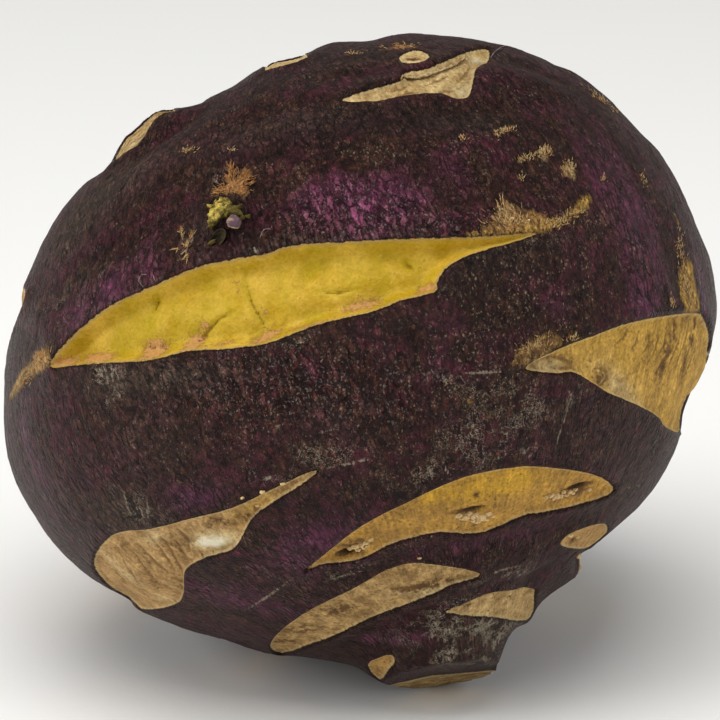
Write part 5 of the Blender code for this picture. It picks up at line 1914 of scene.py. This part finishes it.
class KOHLRABI_OT_add_hairs(bpy.types.Operator):
    """Model the loose hairs of skin along the split, and the twig of the top scar"""
    bl_idname = "kohlrabi.add_hairs"
    bl_label = "Add Hairs"

    def execute(self, context):
        colours = colours_of(context.scene)
        hairs = []
        for path in HAIRS:
            curve = smooth_path(path, False, 5)
            starts, frames = perches([tuple(place) for place in curve])
            arch = np.sin(np.linspace(0, np.pi, len(curve)))
            middles = starts + frames[:, 2] * (HAIR_LIFT * arch)[:, None]
            data = bpy.data.curves.new("hair", "CURVE")
            data.dimensions = "3D"
            data.bevel_depth = HAIR_THICKNESS / 2 * MM
            data.bevel_resolution = 2
            data.use_fill_caps = True
            line = data.splines.new("POLY")
            line.points.add(len(curve) - 1)
            for point, middle in zip(line.points, middles * MM):
                point.co = (*middle, 1.0)
            hair = bpy.data.objects.new("hair", data)
            context.collection.objects.link(hair)
            hairs.append(hair)
        choose(*hairs)
        bpy.ops.object.convert(target="MESH")
        finish_piece(join(hairs), "skin_hairs", 0.0,
                     "dry_skin_hairs", colours["bud_mauve"], colours["glint"], 0.4, 0.7, 0.01)
        return {"FINISHED"}


class KOHLRABI_OT_set_stage(bpy.types.Operator):
    """Set the pale floor, the soft light and the camera"""
    bl_idname = "kohlrabi.set_stage"
    bl_label = "Set Stage"

    def execute(self, context):
        studio = context.scene.kohlrabi_studio
        bpy.ops.mesh.primitive_plane_add(size=FLOOR_SIZE)
        floor = context.object
        floor.name = "studio_floor"
        material, add = new_material("matte_paper")
        place = add("TexCoord", {}, out="Object")
        fibre = add("TexNoise", {"Vector": place, "Scale": PAPER_FIBRES, "Detail": 2.0})
        height = add("Math", (fibre, 0.02), operation="MULTIPLY")
        finish_material(add, srgb(PAPER), 0.9, height, PAPER_SHEEN)
        floor.data.materials.append(material)
        for name, power, size, place_at in [
            ("top_light", studio.key_power, 0.9, (-0.1, -0.3, 1.0)),
            ("left_light", studio.fill_power, 0.7, (-0.9, -0.35, 0.4)),
            ("right_light", studio.fill_power * 0.6, 0.7, (0.9, -0.35, 0.4)),
        ]:
            bpy.ops.object.light_add(type="AREA", location=place_at)
            light = context.object
            light.name = name
            light.data.energy = power
            light.data.size = size
            toward = Vector(LIT_PLACE) - Vector(place_at)
            light.rotation_euler = toward.to_track_quat("-Z", "Y").to_euler()
        world = bpy.data.worlds.new("studio_world")
        world.use_nodes = True
        background = world.node_tree.nodes["Background"]
        background.inputs["Color"].default_value = (1.0, 1.0, 1.0, 1.0)
        background.inputs["Strength"].default_value = studio.world
        context.scene.world = world
        eye = to_table(EYE[None])[0] * MM
        bpy.ops.object.camera_add(location=(0, 0, 0))
        camera = context.object
        camera.name = "camera"
        sine, cosine = math.sin(TIPPED), math.cos(TIPPED)
        camera.matrix_world = Matrix((
            (1, 0, 0, eye[0]), (0, sine, -cosine, eye[1]), (0, cosine, sine, eye[2]), (0, 0, 0, 1),
        ))
        camera.data.type = "PERSP"
        camera.data.sensor_width = 36.0
        camera.data.lens = camera.data.sensor_width * EYE_DISTANCE / (PICTURE_WIDTH * PIXEL)
        camera.data.clip_start = 0.01
        context.scene.camera = camera
        context.scene.view_settings.view_transform = "Standard"
        return {"FINISHED"}


class KOHLRABI_PT_panel(bpy.types.Panel):
    """Lists the pieces, their sizes and their colours"""
    bl_idname = "KOHLRABI_PT_panel"
    bl_label = "Kohlrabi"
    bl_space_type = "VIEW_3D"
    bl_region_type = "UI"
    bl_category = "Kohlrabi"

    def draw(self, context):
        scene = context.scene
        for group in (scene.kohlrabi_shape, scene.kohlrabi_colours, scene.kohlrabi_studio):
            for name in type(group).__annotations__:
                self.layout.prop(group, name)
        for operator in OPERATORS:
            self.layout.operator(operator.bl_idname)


OPERATORS = (
    KOHLRABI_OT_add_body, KOHLRABI_OT_add_bud, KOHLRABI_OT_add_flap, KOHLRABI_OT_add_crumbs,
    KOHLRABI_OT_add_fibres, KOHLRABI_OT_add_hairs, KOHLRABI_OT_set_stage,
)
CLASSES = (KohlrabiShape, KohlrabiColours, KohlrabiStudio, *OPERATORS, KOHLRABI_PT_panel)


def register():
    for one in CLASSES:
        bpy.utils.register_class(one)
    bpy.types.Scene.kohlrabi_shape = PointerProperty(type=KohlrabiShape)
    bpy.types.Scene.kohlrabi_colours = PointerProperty(type=KohlrabiColours)
    bpy.types.Scene.kohlrabi_studio = PointerProperty(type=KohlrabiStudio)


def unregister():
    for name in ("kohlrabi_shape", "kohlrabi_colours", "kohlrabi_studio"):
        delattr(bpy.types.Scene, name)
    for one in reversed(CLASSES):
        bpy.utils.unregister_class(one)


def main():
    register()
    bpy.ops.kohlrabi.add_body()
    bpy.ops.kohlrabi.add_bud()
    bpy.ops.kohlrabi.add_flap()
    bpy.ops.kohlrabi.add_crumbs()
    bpy.ops.kohlrabi.add_fibres()
    bpy.ops.kohlrabi.add_hairs()
    bpy.ops.kohlrabi.set_stage()


if __name__ == "__main__":
    main()
